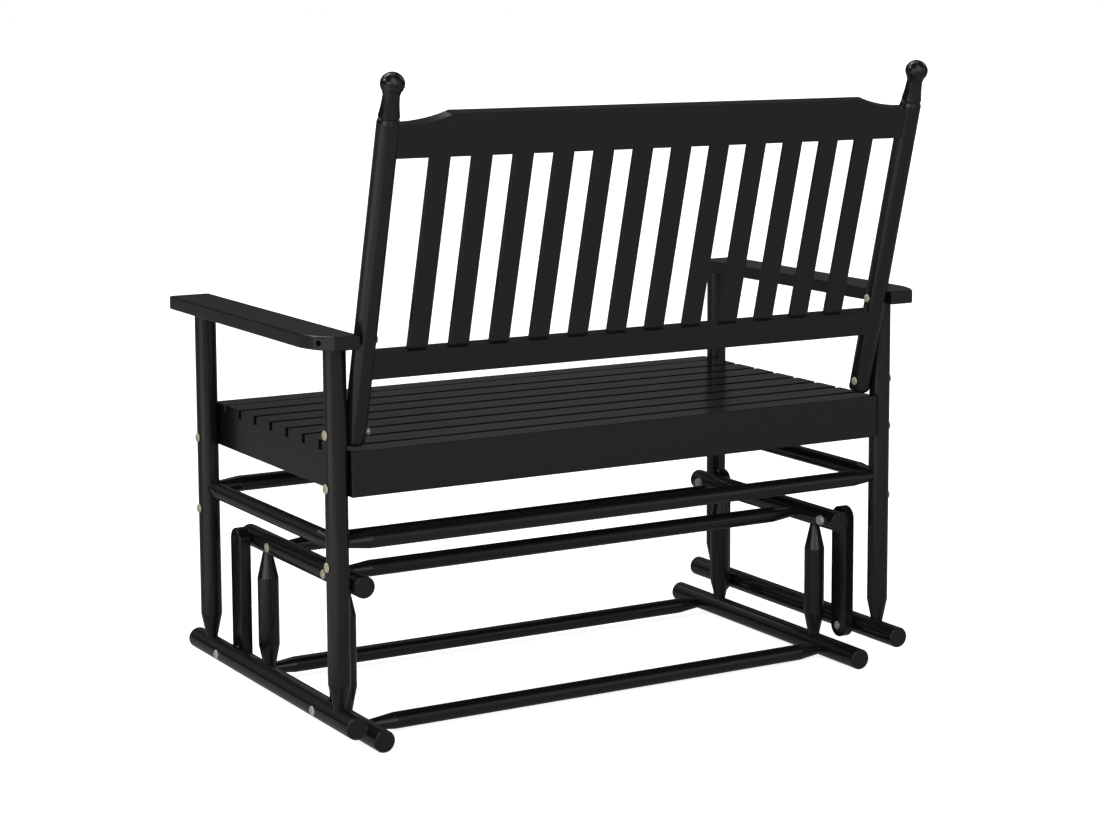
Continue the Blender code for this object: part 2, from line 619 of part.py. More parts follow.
def add_back(bench):
    """Build the leaning back: two turned posts, crest rail, lower rail and twelve slats."""
    slat_bottom = LOWER_RAIL_REACH + LOWER_RAIL_WIDTH - BACK_SLAT_MORTISE + FIT
    slat_top = CREST_REACH + BACK_SLAT_MORTISE - FIT
    crest = add_back_rail(bench, "back_crest_rail", crest_outline(), CREST_REACH,
                          CREST_WIDTH - SCOOP_DROP)
    lower = add_back_rail(bench, "back_lower_rail", lower_rail_outline(), LOWER_RAIL_REACH,
                          LOWER_RAIL_WIDTH)
    slat_size = (BACK_SLAT_WIDTH, slat_top - slat_bottom, BACK_SLAT_THICKNESS)
    hole_size = [length + 2 * FIT for length in slat_size]
    middle = (BACK_SLAT_COUNT - 1) / 2
    for number in range(BACK_SLAT_COUNT):
        x = (middle - number) * BACK_SLAT_PITCH
        along = (slat_top + slat_bottom) / 2
        slat = box_object(f"back_slat_{number + 1:02d}", slat_size, BACK_SLAT_EDGE)
        bench.add(slat, bench.wood, back_place(x, along, BACK_SLAT_OFFSET), BACK_BOARD_TURN,
                  bench.seat_frame)
        for rail in (crest, lower):
            bench.mortise(rail, back_matrix(x, along, BACK_SLAT_OFFSET), hole_size)
    for side, sign in SIDES:
        add_back_post(bench, side, sign)


def crest_outline():
    """Return the outline of the crest rail, whose top is scooped down to each post."""
    end_x = BACK_POST_X
    inner_x = BACK_POST_X - DOWEL_RADIUS
    radius = (SCOOP_RUN ** 2 + SCOOP_DROP ** 2) / (2 * SCOOP_DROP)
    sweep = math.asin(SCOOP_RUN / radius)
    low = CREST_WIDTH - SCOOP_DROP
    centre = (inner_x, low + radius)
    scoop = arc_points(centre, radius, -math.pi / 2, -math.pi / 2 - sweep)
    right = [(end_x, 0.0), (end_x, low)] + scoop
    left = [(-x, y) for x, y in reversed(right)]
    return right + left


def lower_rail_outline():
    """Return the outline of the straight lower back rail."""
    return [(BACK_POST_X, 0.0), (BACK_POST_X, LOWER_RAIL_WIDTH),
            (-BACK_POST_X, LOWER_RAIL_WIDTH), (-BACK_POST_X, 0.0)]


def add_back_rail(bench, name, points, reach, end_width):
    """Make a back rail with its ends coped to the round posts and a tenon at each end."""
    rail = outline_object(name, points, BACK_RAIL_THICKNESS, BACK_RAIL_EDGE)
    bench.add(rail, bench.wood, back_place(0, reach), BACK_BOARD_TURN, bench.seat_frame)
    radius = DOWEL_RADIUS + FIT
    past = 2 * CREST_WIDTH
    for _, sign in SIDES:
        profile = [(0, past), (radius, past), (radius, -past), (0, -past)]
        cope = turned_object("cope", profile, 2 * ROUND_STEPS)
        cope.rotation_euler = BACK_POST_TURN
        cope.location = back_place(sign * BACK_POST_X, reach)
        bench.combine(rail, cope)
        tenon = box_object("tenon", tenon_size(end_width))
        tenon.matrix_world = tenon_matrix(sign, reach, end_width)
        bench.combine(rail, tenon, "UNION")
    return rail


def tenon_size(end_width):
    """Return the size of a back rail's tenon, with the root that runs back into the rail."""
    return (BACK_TENON_LENGTH + DOWEL_RADIUS, end_width - 2 * BACK_TENON_SHOULDER,
            BACK_TENON_THICKNESS)


def tenon_matrix(sign, reach, end_width):
    """Return the frame of a back rail's tenon, whose tip lies inside the post."""
    tip = BACK_POST_X - DOWEL_RADIUS + BACK_TENON_LENGTH
    x = sign * (tip - tenon_size(end_width)[0] / 2)
    return back_matrix(x, reach + end_width / 2)


def add_back_post(bench, side, sign):
    """Turn one back post with its finial, and cut the mortises and bolt holes in it."""
    foot = -BACK_POST_DROP
    rounding = BACK_POST_END_RADIUS
    profile = finial_profile()
    profile += [(DOWEL_RADIUS - END_CHAMFER, SHOULDER_REACH),
                (DOWEL_RADIUS, SHOULDER_REACH - SHOULDER_DROP)]
    centre = (DOWEL_RADIUS - rounding, foot + rounding)
    profile += arc_points(centre, rounding, 0.0, -math.pi / 2, ARC_STEPS // 2)
    profile.append((0, foot))
    post = turned_object(f"back_post_{side}", profile)
    bench.add(post, bench.wood, back_place(sign * BACK_POST_X, 0), BACK_POST_TURN,
              bench.seat_frame)
    for reach, width in ((CREST_REACH, CREST_WIDTH - SCOOP_DROP),
                         (LOWER_RAIL_REACH, LOWER_RAIL_WIDTH)):
        size = [length + 2 * FIT for length in tenon_size(width)]
        bench.mortise(post, tenon_matrix(sign, reach, width), size)
    outer = sign * (BACK_POST_X + DOWEL_RADIUS)
    for y, z in ((POST_Y, LOW_BOLT_HEIGHT), (ARM_BOLT_Y, ARM_BOLT_HEIGHT)):
        bench.drill(post, (outer, y, z), (-sign, 0, 0), 3 * DOWEL_RADIUS, FRAME_HOLE_RADIUS,
                    HOLE_STEPS)


def finial_profile():
    """Return the profile of the ball, its concave neck and the flare that stands on the shoulder."""
    ball_centre = SHOULDER_REACH + FLARE_HEIGHT + NECK_HEIGHT + BALL_HEIGHT / 2
    neck = ball_centre - BALL_HEIGHT / 2
    crown = BALL_HEIGHT / 2
    neck_angle = -math.acos(NECK_RADIUS / BALL_RADIUS)
    steps = 2 * ARC_STEPS
    angles = [math.pi / 2 + (neck_angle - math.pi / 2) * i / steps for i in range(steps + 1)]
    ball = [(BALL_RADIUS * math.cos(a), ball_centre + crown * math.sin(a)) for a in angles]
    ball[0] = (0, ball_centre + crown)
    return ball + [(NECK_RADIUS, neck), (FLARE_RADIUS, SHOULDER_REACH + FLARE_HEIGHT),
                   (FLARE_RADIUS - END_CHAMFER, SHOULDER_REACH)]


def pivot_bolt_profile(first_piece, second_piece, nut_radius, nut_height):
    """Return the profile of a pivot bolt from its head down to its nut.

    Under the head lie the first piece, a collar that fills the gap between the two pieces that
    turn on each other, the second piece and the nut.
    """
    collar_top = -first_piece - 2 * FIT
    collar_bottom = -first_piece - PIVOT_CLEARANCE
    nut = -first_piece - PIVOT_CLEARANCE - second_piece - 2 * FIT
    return [
        (0, PIVOT_HEAD_HEIGHT - HEAD_SOCKET_DEPTH),
        (HEAD_SOCKET_RADIUS, PIVOT_HEAD_HEIGHT - HEAD_SOCKET_DEPTH),
        (HEAD_SOCKET_RADIUS, PIVOT_HEAD_HEIGHT),
        (PIVOT_HEAD_RADIUS - END_CHAMFER, PIVOT_HEAD_HEIGHT),
        (PIVOT_HEAD_RADIUS, PIVOT_HEAD_HEIGHT - END_CHAMFER),
        (PIVOT_HEAD_RADIUS, 0),
        (PIVOT_BOLT_RADIUS, 0),
        (PIVOT_BOLT_RADIUS, collar_top),
        (PIVOT_COLLAR_RADIUS, collar_top),
        (PIVOT_COLLAR_RADIUS, collar_bottom),
        (PIVOT_BOLT_RADIUS, collar_bottom),
        (PIVOT_BOLT_RADIUS, nut),
        (nut_radius, nut),
        (nut_radius, nut - nut_height / 2),
        (nut_radius - END_CHAMFER / 2, nut - nut_height),
        (0, nut - nut_height),
    ]


def add_pivot_bolts(bench):
    """Build the eight pivot bolts, four tight in the hanger rails and four in the bottom rails."""
    rail = 2 * DOWEL_RADIUS
    top = pivot_bolt_profile(LINK_THICKNESS, rail, PIVOT_NUT_RADIUS, PIVOT_NUT_HEIGHT)
    low = pivot_bolt_profile(rail, LINK_THICKNESS, PIVOT_CAP_RADIUS, PIVOT_CAP_HEIGHT)
    top_x = LINK_X + LINK_THICKNESS / 2 + FIT
    low_x = POST_X + DOWEL_RADIUS + FIT
    for side, sign in SIDES:
        turn = (0.0, sign * math.pi / 2, 0.0)
        for end, way in ENDS:
            y = way * LINK_Y
            bolt = turned_object(f"pivot_bolt_top_{end}_{side}", top, SOCKET_STEPS)
            bench.add(bolt, bench.steel, (sign * top_x, y, HANGER_HEIGHT), turn)
            bolt = turned_object(f"pivot_bolt_low_{end}_{side}", low, SOCKET_STEPS)
            bench.add(bolt, bench.steel, (sign * low_x, y, SEAT_RAIL_HEIGHT), turn,
                      bench.seat_frame)


def main():
    """Build the bench."""
    bench = Bench()
    add_base(bench)
    add_links(bench)
    add_seat_frame(bench)
    add_seat_panel(bench)
    add_armrests(bench)
    add_back(bench)
    add_pivot_bolts(bench)


main()
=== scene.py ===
"""Looks of the two-seat swing bench: painted wood, plated bolts, a pale studio and the camera.

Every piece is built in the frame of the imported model, in metres, with +Z up. The sitter faces -Y and
the sitter's left is +X. Turned pieces come from one lathe tree, flat ones from one board tree, and
bolts from one fastener tree.
"""

import logging
import math
from dataclasses import dataclass
from enum import Enum
from functools import partial
from typing import Any

import bpy
from mathutils import Matrix, Vector


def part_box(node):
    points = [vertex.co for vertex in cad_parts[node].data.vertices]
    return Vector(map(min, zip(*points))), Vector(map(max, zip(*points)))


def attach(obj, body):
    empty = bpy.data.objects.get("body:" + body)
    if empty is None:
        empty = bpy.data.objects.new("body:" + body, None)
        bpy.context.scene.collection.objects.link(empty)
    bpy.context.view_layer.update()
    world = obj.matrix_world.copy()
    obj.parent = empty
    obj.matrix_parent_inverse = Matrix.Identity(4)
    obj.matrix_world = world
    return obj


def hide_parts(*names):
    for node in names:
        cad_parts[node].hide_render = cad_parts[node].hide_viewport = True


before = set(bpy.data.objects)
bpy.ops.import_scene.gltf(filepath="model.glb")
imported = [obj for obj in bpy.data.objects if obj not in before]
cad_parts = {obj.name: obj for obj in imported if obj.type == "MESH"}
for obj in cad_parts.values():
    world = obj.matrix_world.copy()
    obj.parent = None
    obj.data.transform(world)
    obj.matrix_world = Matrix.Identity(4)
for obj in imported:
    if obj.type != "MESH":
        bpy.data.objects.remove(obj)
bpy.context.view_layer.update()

Object = bpy.types.Object
Mesh = bpy.types.Mesh
Material = bpy.types.Material
NodeTree = bpy.types.NodeTree
Node = bpy.types.Node
Socket = bpy.types.NodeSocket
Point = tuple[float, float, float]
Spot = tuple[Vector, Vector]
Outline = list[tuple[float, float]]

LOG = logging.getLogger("swing_bench")
WOOD_SLOT = "black_painted_wood"
STEEL_SLOT = "zinc_plated_steel"
STOCK = "stock"
SIDES = {"left": 1, "right": -1}
ENDS = {"front": -1, "rear": 1}
QUARTER = math.pi / 2
UPRIGHT = Matrix.Identity(4)
WHITE = (1.0, 1.0, 1.0, 1.0)
ROUNDING_STEPS = 4
CORNER_STEPS = 6
CURVE_STEPS = 20
HEXAGON = 6
BOLT_FACETS = 32
AXIS_RADIUS = 0.00001
LATHE_WELD = 0.00004
BOARD_WELD = 0.00001
MIDDLE_PLANE = -0.0001
SQUARE_ANGLE = 50.0
CREASE_ANGLE = 40.0
STOCK_SHIFT = Vector((3.0, 0.04, 0.04))


def linear(hex_code: str) -> tuple[float, float, float, float]:
    """Turn an sRGB hex colour to linear.

    Args:
        hex_code: The colour as #RRGGBB.

    Returns:
        The linear colour with an alpha of one.
    """
    channels = [int(hex_code[i:i + 2], 16) / 255 for i in (1, 3, 5)]
    red, green, blue = (c / 12.92 if c <= 0.04045 else ((c + 0.055) / 1.055) ** 2.4
                        for c in channels)
    return red, green, blue, 1.0


def feed(tree: NodeTree, node: Node, inputs: dict[Any, Any]) -> None:
    """Fill a node's inputs.

    Args:
        tree: The tree that holds the node.
        node: The node.
        inputs: What goes into each input, by its name or index: a plain value, the socket that
            feeds it, or a node that feeds it from its first output.
    """
    for key, source in inputs.items():
        if isinstance(source, Node):
            source = source.outputs[0]
        if isinstance(source, Socket):
            tree.links.new(source, node.inputs[key])
        else:
            node.inputs[key].default_value = source


def add_node(tree: NodeTree, kind: str, inputs: dict[Any, Any] | None = None,
             **settings: Any) -> Node:
    """Add a node with its settings and inputs.

    Args:
        tree: The tree that the node goes into.
        kind: The node's type.
        inputs: What goes into each input, as for feed.
        settings: The node's own settings, by name.

    Returns:
        The new node.
    """
    node = tree.nodes.new(kind)
    for name, setting in settings.items():
        setattr(node, name, setting)
    feed(tree, node, inputs or {})
    return node


def store(tree: NodeTree, shape: Node, value: Node | Socket, name: str = STOCK,
          domain: str = "POINT", kind: str = "FLOAT_VECTOR") -> Node:
    """Store a value on a shape.

    Args:
        tree: The tree.
        shape: The node that gives the shape.
        value: What gives the value.
        name: The name that the value is stored under.
        domain: Whether each POINT, EDGE or INSTANCE has a value.
        kind: The value's type.

    Returns:
        The node that gives the shape with its value.
    """
    return add_node(tree, "GeometryNodeStoreNamedAttribute",
                    {"Geometry": shape, "Name": name, "Value": value}, data_type=kind, domain=domain)


def recall(tree: NodeTree, name: str) -> Node:
    """Add a node that reads a stored vector."""
    return add_node(tree, "GeometryNodeInputNamedAttribute", {"Name": name}, data_type="FLOAT_VECTOR")


def steeper(tree: NodeTree, degrees: float) -> Node:
    """Add a test whether the faces at an edge meet at more than an angle."""
    angle = add_node(tree, "GeometryNodeInputMeshEdgeAngle")
    return add_node(tree, "FunctionNodeCompare", {0: angle, 1: math.radians(degrees)},
                    operation="GREATER_THAN")


def place_in_stock(tree: NodeTree) -> tuple[Node, Node, Node]:
    """Add nodes that read where a point lies, once with the grain along X and once along Z.

    Args:
        tree: The tree.

    Returns:
        The place with the grain along X, its separate parts, and the place with the grain along Z.
    """
    place = add_node(tree, "GeometryNodeInputPosition")
    parts = add_node(tree, "ShaderNodeSeparateXYZ", {0: place})
    across = add_node(tree, "ShaderNodeCombineXYZ",
                      {0: parts.outputs[2], 1: parts.outputs[0], 2: parts.outputs[1]})
    return place, parts, across


def start_tree(name: str, inputs: dict[str, str]) -> tuple[NodeTree, dict[str, Socket]]:
    """Start a shape tree with geometry in and out and named inputs.

    Args:
        name: The tree's name.
        inputs: The type of each named input, such as Float.

    Returns:
        The tree, and the sockets of its inputs by name.
    """
    tree = bpy.data.node_groups.new(name, "GeometryNodeTree")
    tree.interface.new_socket("Geometry", in_out="OUTPUT", socket_type="NodeSocketGeometry")
    for socket, kind in {"Geometry": "Geometry", **inputs}.items():
        tree.interface.new_socket(socket, in_out="INPUT", socket_type=f"NodeSocket{kind}")
    entry = add_node(tree, "NodeGroupInput")
    return tree, {socket.name: socket for socket in entry.outputs if socket.name}


def end_tree(tree: NodeTree, shape: Node, finish: Socket) -> NodeTree:
    """Close a shape tree with real geometry and a finish.

    Args:
        tree: The tree.
        shape: The node that gives the shape.
        finish: The socket that holds the material.

    Returns:
        The tree.
    """
    real = add_node(tree, "GeometryNodeRealizeInstances", {0: shape})
    smooth = add_node(tree, "GeometryNodeSetShadeSmooth", {0: real})
    dressed = add_node(tree, "GeometryNodeSetMaterial", {"Geometry": smooth, "Material": finish})
    add_node(tree, "NodeGroupOutput", {0: dressed})
    return tree


def lathe_tree() -> NodeTree:
    """Make the tree that turns a profile about the Z axis.

    The source mesh is a line of (radius, -height) points from the lower to the upper end. Each
    corner is rounded, and the line is swept round a circle that is too small to see.

    Returns:
        The tree.
    """
    tree, given = start_tree("turned_piece", {
        "Rounding": "Float", "Facets": "Int", "Shift": "Vector", "Finish": "Material"})
    add = partial(add_node, tree)
    line = add("GeometryNodeMeshToCurve", {0: given["Geometry"]})
    rounded = add("GeometryNodeFilletCurve", {"Curve": line, "Radius": given["Rounding"],
                                              "Count": ROUNDING_STEPS, "Limit Radius": True},
                  mode="POLY")
    circle = add("GeometryNodeCurvePrimitiveCircle",
                 {"Radius": AXIS_RADIUS, "Resolution": given["Facets"]}, mode="RADIUS")
    upright = add("GeometryNodeSetCurveNormal", {0: circle}, mode="Z_UP")
    turned = add("GeometryNodeCurveToMesh", {"Curve": upright, "Profile Curve": rounded})
    closed = add("GeometryNodeMergeByDistance", {0: turned, "Distance": LATHE_WELD})
    outward = add("GeometryNodeFlipFaces", {0: closed})
    _, _, along = place_in_stock(tree)
    stock = add("ShaderNodeVectorMath", {0: along, 1: given["Shift"]}, operation="ADD")
    return end_tree(tree, store(tree, outward, stock), given["Finish"])


def board_tree() -> NodeTree:
    """Make the tree that cuts equal boards from one flat outline and lays them in a row.

    The outline lies in the XY plane. Where the grain runs along the board's thickness, as in a
    moulding, End Grain is on. Every square edge is marked to be rounded, and with Square Below on,
    the lower ones are left out.

    Returns:
        The tree.
    """
    tree, given = start_tree("board_row", {
        "Thickness": "Float", "Count": "Int", "Step": "Vector", "End Grain": "Bool",
        "Square Below": "Bool", "Seed": "Int", "Finish": "Material"})
    add = partial(add_node, tree)
    raised = add("GeometryNodeExtrudeMesh", {"Mesh": given["Geometry"], "Individual": False,
                                             "Offset Scale": given["Thickness"]}, mode="FACES")
    under = add("GeometryNodeFlipFaces", {0: given["Geometry"]})
    both = add("GeometryNodeJoinGeometry", {0: raised})
    feed(tree, both, {0: under})
    board = add("GeometryNodeMergeByDistance", {0: both, "Distance": BOARD_WELD})
    place, parts, turned = place_in_stock(tree)
    grain = add("GeometryNodeSwitch", {"Switch": given["End Grain"], "False": place, "True": turned},
                input_type="VECTOR")
    above = add("FunctionNodeCompare", {0: parts.outputs[2], 1: MIDDLE_PLANE},
                operation="GREATER_THAN")
    eased = add("FunctionNodeBooleanMath", {0: given["Square Below"], 1: above}, operation="IMPLY")
    chosen = add("FunctionNodeBooleanMath", {0: steeper(tree, SQUARE_ANGLE), 1: eased},
                 operation="AND")
    edged = store(tree, board, chosen, "bevel_weight_edge", "EDGE", "FLOAT")
    marked = store(tree, edged, grain.outputs["Output"])
    row = add("GeometryNodeMeshLine", {"Count": given["Count"], "Offset": given["Step"]},
              mode="OFFSET")
    laid = add("GeometryNodeInstanceOnPoints", {"Points": row, "Instance": marked})
    shift = add("FunctionNodeRandomValue", {0: -STOCK_SHIFT, 1: STOCK_SHIFT, "Seed": given["Seed"]},
                data_type="FLOAT_VECTOR")
    shifted = store(tree, laid, shift.outputs["Value"], "shift", "INSTANCE")
    real = add("GeometryNodeRealizeInstances", {0: shifted})
    summed = add("ShaderNodeVectorMath", {0: recall(tree, STOCK), 1: recall(tree, "shift")},
                 operation="ADD")
    return end_tree(tree, store(tree, real, summed), given["Finish"])


def fastener_tree() -> NodeTree:
    """Make the tree that sets one bolt on every point, turned to face the way that is stored there.

    Returns:
        The tree.
    """
    tree, given = start_tree("fasteners", {"Bolt": "Object", "Seed": "Int", "Finish": "Material"})
    add = partial(add_node, tree)
    bolt = add("GeometryNodeObjectInfo", {"Object": given["Bolt"]}, transform_space="ORIGINAL")
    aligned = add("FunctionNodeAlignRotationToVector", {"Vector": recall(tree, "facing")}, axis="Z")
    spin = add("FunctionNodeRandomValue", {2: 0.0, 3: math.pi, "Seed": given["Seed"]},
               data_type="FLOAT")
    turn = add("FunctionNodeAxisAngleToRotation", {"Axis": (0.0, 0.0, 1.0), "Angle": spin.outputs[1]})
    rotation = add("FunctionNodeRotateRotation", {0: aligned, 1: turn}, rotation_space="LOCAL")
    laid = add("GeometryNodeInstanceOnPoints", {"Points": given["Geometry"], "Rotation": rotation,
                                                "Instance": bolt.outputs["Geometry"]})
    return end_tree(tree, laid, given["Finish"])


def crease_tree() -> NodeTree:
    """Make the tree that marks every edge sharp that is neither rounded nor part of a curve."""
    tree, given = start_tree("creases", {})
    creased = add_node(tree, "GeometryNodeSetShadeSmooth", {
        0: given["Geometry"], "Selection": steeper(tree, CREASE_ANGLE), "Shade Smooth": False},
        domain="EDGE")
    add_node(tree, "NodeGroupOutput", {0: creased})
    return tree


def add_object(name: str, data: Any) -> Object:
    """Make an object of its data and add it to the scene."""
    item = bpy.data.objects.new(name, data)
    bpy.context.scene.collection.objects.link(item)
    return item


def join(name: str, meshes: list[Mesh]) -> Object:
    """Make one object of several meshes and add it to the scene."""
    whole, *others = [add_object(name, mesh) for mesh in meshes]
    if others:
        with bpy.context.temp_override(active_object=whole, object=whole,
                                       selected_editable_objects=[whole, *others]):
            bpy.ops.object.join()
    return whole


def tool(*meshes: Mesh) -> Object:
    """Make a hidden helper object of one or more meshes."""
    helper = join("tool", list(meshes))
    helper.hide_render = True
    helper.hide_viewport = True
    return helper


def add_cut(holder: Object, cutter: Object, operation: str = "DIFFERENCE") -> None:
    """Add an exact cut to an object, or with INTERSECT keep what lies in both."""
    cut = holder.modifiers.new("cut", "BOOLEAN")
    cut.operation = operation
    cut.object = cutter
    cut.solver = "EXACT"


def settle(holder: Object) -> Mesh:
    """Remove an object, and return the mesh that its modifiers made."""
    bpy.context.view_layer.update()
    graph = bpy.context.evaluated_depsgraph_get()
    mesh = bpy.data.meshes.new_from_object(holder.evaluated_get(graph))
    bpy.data.objects.remove(holder)
    return mesh


def cut_mesh(mesh: Mesh, cutter: Object, operation: str = "DIFFERENCE") -> Mesh:
    """Cut a mesh with a helper, remove the helper and return the new mesh."""
    holder = add_object("work", mesh)
    add_cut(holder, cutter, operation)
    made = settle(holder)
    bpy.data.objects.remove(cutter)
    return made


def grow(tree: NodeTree, source: Mesh, values: dict[str, Any], edge: float = 0.0,
         cutters: tuple[Object, ...] = ()) -> Mesh:
    """Run a shape tree on a source mesh, round its edges, and return a plain mesh.

    Args:
        tree: The shape tree.
        source: The mesh that the tree starts from.
        values: The values of the tree's inputs, by name.
        edge: The radius of the rounded edges, in metres.
        cutters: Objects that are cut away.

    Returns:
        The finished mesh.
    """
    source.materials.append(values["Finish"])
    holder = add_object("work", source)
    shape = holder.modifiers.new("shape", "NODES")
    shape.node_group = tree
    for socket in tree.interface.items_tree:
        if socket.in_out == "INPUT" and socket.name in values:
            shape[socket.identifier] = values[socket.name]
    if edge:
        bevel = holder.modifiers.new("edges", "BEVEL")
        bevel.width = edge
        bevel.segments = ROUNDING_STEPS
        bevel.limit_method = "WEIGHT"
    for cutter in cutters:
        add_cut(holder, cutter)
    crease = holder.modifiers.new("creases", "NODES")
    crease.node_group = bpy.data.node_groups.get("creases") or crease_tree()
    sharp = holder.modifiers.new("normals", "WEIGHTED_NORMAL")
    sharp.weight = 100
    sharp.keep_sharp = True
    return settle(holder)


def line_mesh(points: Outline) -> Mesh:
    """Make the source of a turned piece from (radius, height) points, from low to high."""
    mesh = bpy.data.meshes.new("profile")
    edges = [(i, i + 1) for i in range(len(points) - 1)]
    mesh.from_pydata([(radius, -height, 0.0) for radius, height in points], edges, [])
    return mesh


def face_mesh(points: Outline) -> Mesh:
    """Make the source of a board from an outline that runs anticlockwise."""
    mesh = bpy.data.meshes.new("outline")
    mesh.from_pydata([(x, y, 0.0) for x, y in points], [], [range(len(points))])
    return mesh


def rectangle(width: float, height: float) -> Outline:
    """Return the outline of a rectangle about the origin."""
    x, y = width / 2, height / 2
    return [(-x, -y), (x, -y), (x, y), (-x, y)]


def cylinder(radius: float, low: float, high: float) -> Outline:
    """Return the profile of a plain round piece between two heights."""
    return [(0.0, low), (radius, low), (radius, high), (0.0, high)]


def mirrored(outline: Outline) -> Outline:
    """Return an outline mirrored in its first axis, anticlockwise again."""
    return [(-x, y) for x, y in reversed(outline)]


def arc(centre: tuple[float, float], radius: float, start: float, end: float,
        steps: int) -> Outline:
    """Return points on an arc.

    Args:
        centre: The arc's centre.
        radius: The arc's radius.
        start: The first angle, in radians.
        end: The last angle, in radians.
        steps: How many chords the arc has.

    Returns:
        The points, with both ends.
    """
    angles = [start + (end - start) * i / steps for i in range(steps + 1)]
    return [(centre[0] + radius * math.cos(a), centre[1] + radius * math.sin(a)) for a in angles]


def turn_to(axis: str, place: Vector) -> Matrix:
    """Return the matrix that lays the Z axis along a world axis, at a place."""
    turns = {"X": Matrix.Rotation(QUARTER, 4, "Y"), "Y": Matrix.Rotation(-QUARTER, 4, "X"),
             "Z": UPRIGHT}
    return Matrix.Translation(place) @ turns[axis]


def middle(node: str) -> Vector:
    """Return the middle of a node's box."""
    low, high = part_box(node)
    return (low + high) / 2


def length(node: str, axis: int) -> float:
    """Return the length of a node's box along an axis."""
    low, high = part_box(node)
    return high[axis] - low[axis]


def start_finish(name: str) -> tuple[Material, NodeTree, Node]:
    """Start a material and return it with its tree and its shader."""
    material = bpy.data.materials.new(name)
    material.use_nodes = True
    return material, material.node_tree, material.node_tree.nodes["Principled BSDF"]


def noise(tree: NodeTree, place: Node | Socket, scale: float, detail: float = 3.0) -> Node:
    """Add noise that is read at a place, with its scale and its detail."""
    return add_node(tree, "ShaderNodeTexNoise", {"Vector": place, "Scale": scale, "Detail": detail})


def rings(tree: NodeTree, place: Node | Socket, spacing: float) -> Socket:
    """Add rings about the X axis that lie a spacing apart."""
    wave = add_node(tree, "ShaderNodeTexWave",
                    {"Vector": place, "Scale": 2 * math.pi / (20 * spacing)},
                    wave_type="RINGS", rings_direction="X")
    return wave.outputs["Fac"]


def blend(tree: NodeTree, first: str, second: str, share: Socket) -> Socket:
    """Add a blend of two sRGB colours, with the share of the second one."""
    mix = add_node(tree, "ShaderNodeMix", {"A": linear(first), "B": linear(second), "Factor": share},
                   data_type="RGBA")
    return mix.outputs["Result"]


def sheen(tree: NodeTree, roughness: float, spread: float, share: Socket) -> Node:
    """Add a roughness that differs by up to a spread from its middle."""
    return add_node(tree, "ShaderNodeMapRange", {
        "Value": share, "To Min": roughness - spread, "To Max": roughness + spread})


@dataclass(frozen=True)
class PaintedPoplar:
    """Satin acrylic paint, sprayed in two coats on sanded poplar.

    The film hides the colour of the wood and follows its grain a little. The eye sees an even, near
    neutral black with a soft sheen, a faint ripple along the grain and the fine bumps of the spray.

    Attributes:
        thin_colour: The film where it is thinnest, over the hard late wood.
        roughness: The middle of the film's range, with roughness_spread either way.
        cloud_scale: How many times a metre the roughness changes.
        ring_spacing: How far the growth rings lie apart.
        ring_stretch: How many times longer the rings' sway is along the grain than across it.
        sway_scale: How many times a metre the rings sway across the grain, by ring_sway.
        fibre_width: How wide the raised fibres are. Real ones are 0.3 mm and wouldn't show.
        spray_size: How far the bumps of the spray lie apart.
        relief: How far the coarsest bump stands up.
        ring_relief: The share of the rings in the relief, beside the fibres.
        spray_relief: The share of the spray in it.
    """

    colour: str = "#181819"
    thin_colour: str = "#1A1A1B"
    roughness: float = 0.20
    roughness_spread: float = 0.03
    cloud_scale: float = 30.0
    specular: float = 0.5
    ring_spacing: float = 0.0035
    ring_stretch: float = 20.0
    sway_scale: float = 22.0
    ring_sway: float = 0.018
    fibre_width: float = 0.0022
    fibre_length: float = 0.045
    spray_size: float = 0.0035
    relief: float = 0.00003
    ring_relief: float = 0.04
    spray_relief: float = 0.5
    bump: float = 0.5

    def material(self) -> Material:
        """Return the paint as a material that reads where each point lay in the wood."""
        material, tree, shader = start_finish("satin_paint_on_poplar")
        add = partial(add_node, tree)
        stock = add("ShaderNodeAttribute", attribute_name=STOCK).outputs["Vector"]
        slow = add("ShaderNodeVectorMath", {0: stock, 1: (1 / self.ring_stretch, 1.0, 1.0)},
                   operation="MULTIPLY")
        sway = noise(tree, slow, self.sway_scale, detail=2.0).outputs["Color"]
        bent = add("ShaderNodeVectorMath", {0: sway, 1: (0.0, self.ring_sway, self.ring_sway), 2: slow},
                   operation="MULTIPLY_ADD")
        ring = rings(tree, bent, self.ring_spacing)
        fine = add("ShaderNodeVectorMath", {0: stock, 1: (
            1 / self.fibre_length, 1 / self.fibre_width, 1 / self.fibre_width)}, operation="MULTIPLY")
        fibres = noise(tree, fine, 1.0).outputs["Fac"]
        spray = noise(tree, stock, 1 / self.spray_size, detail=1.0).outputs["Fac"]
        grain = add("ShaderNodeMath", {0: ring, 1: self.ring_relief, 2: fibres},
                    operation="MULTIPLY_ADD")
        height = add("ShaderNodeMath", {0: spray, 1: self.spray_relief, 2: grain},
                     operation="MULTIPLY_ADD")
        bump = add("ShaderNodeBump", {"Strength": self.bump, "Distance": self.relief, "Height": height})
        cloud = noise(tree, stock, self.cloud_scale).outputs["Fac"]
        feed(tree, shader, {
            "Base Color": blend(tree, self.colour, self.thin_colour, ring),
            "Roughness": sheen(tree, self.roughness, self.roughness_spread, cloud),
            "Normal": bump, "Specular IOR Level": self.specular})
        return material


class Plating(Enum):
    """The coats of the bolts: their darkest and lightest tone."""

    CLEAR_ZINC = ("#D8D9DA", "#EEEEEE")
    YELLOW_ZINC = ("#DDD6B8", "#F2EEDC")
    BLACK_OXIDE = ("#2C2C2D", "#48484A")


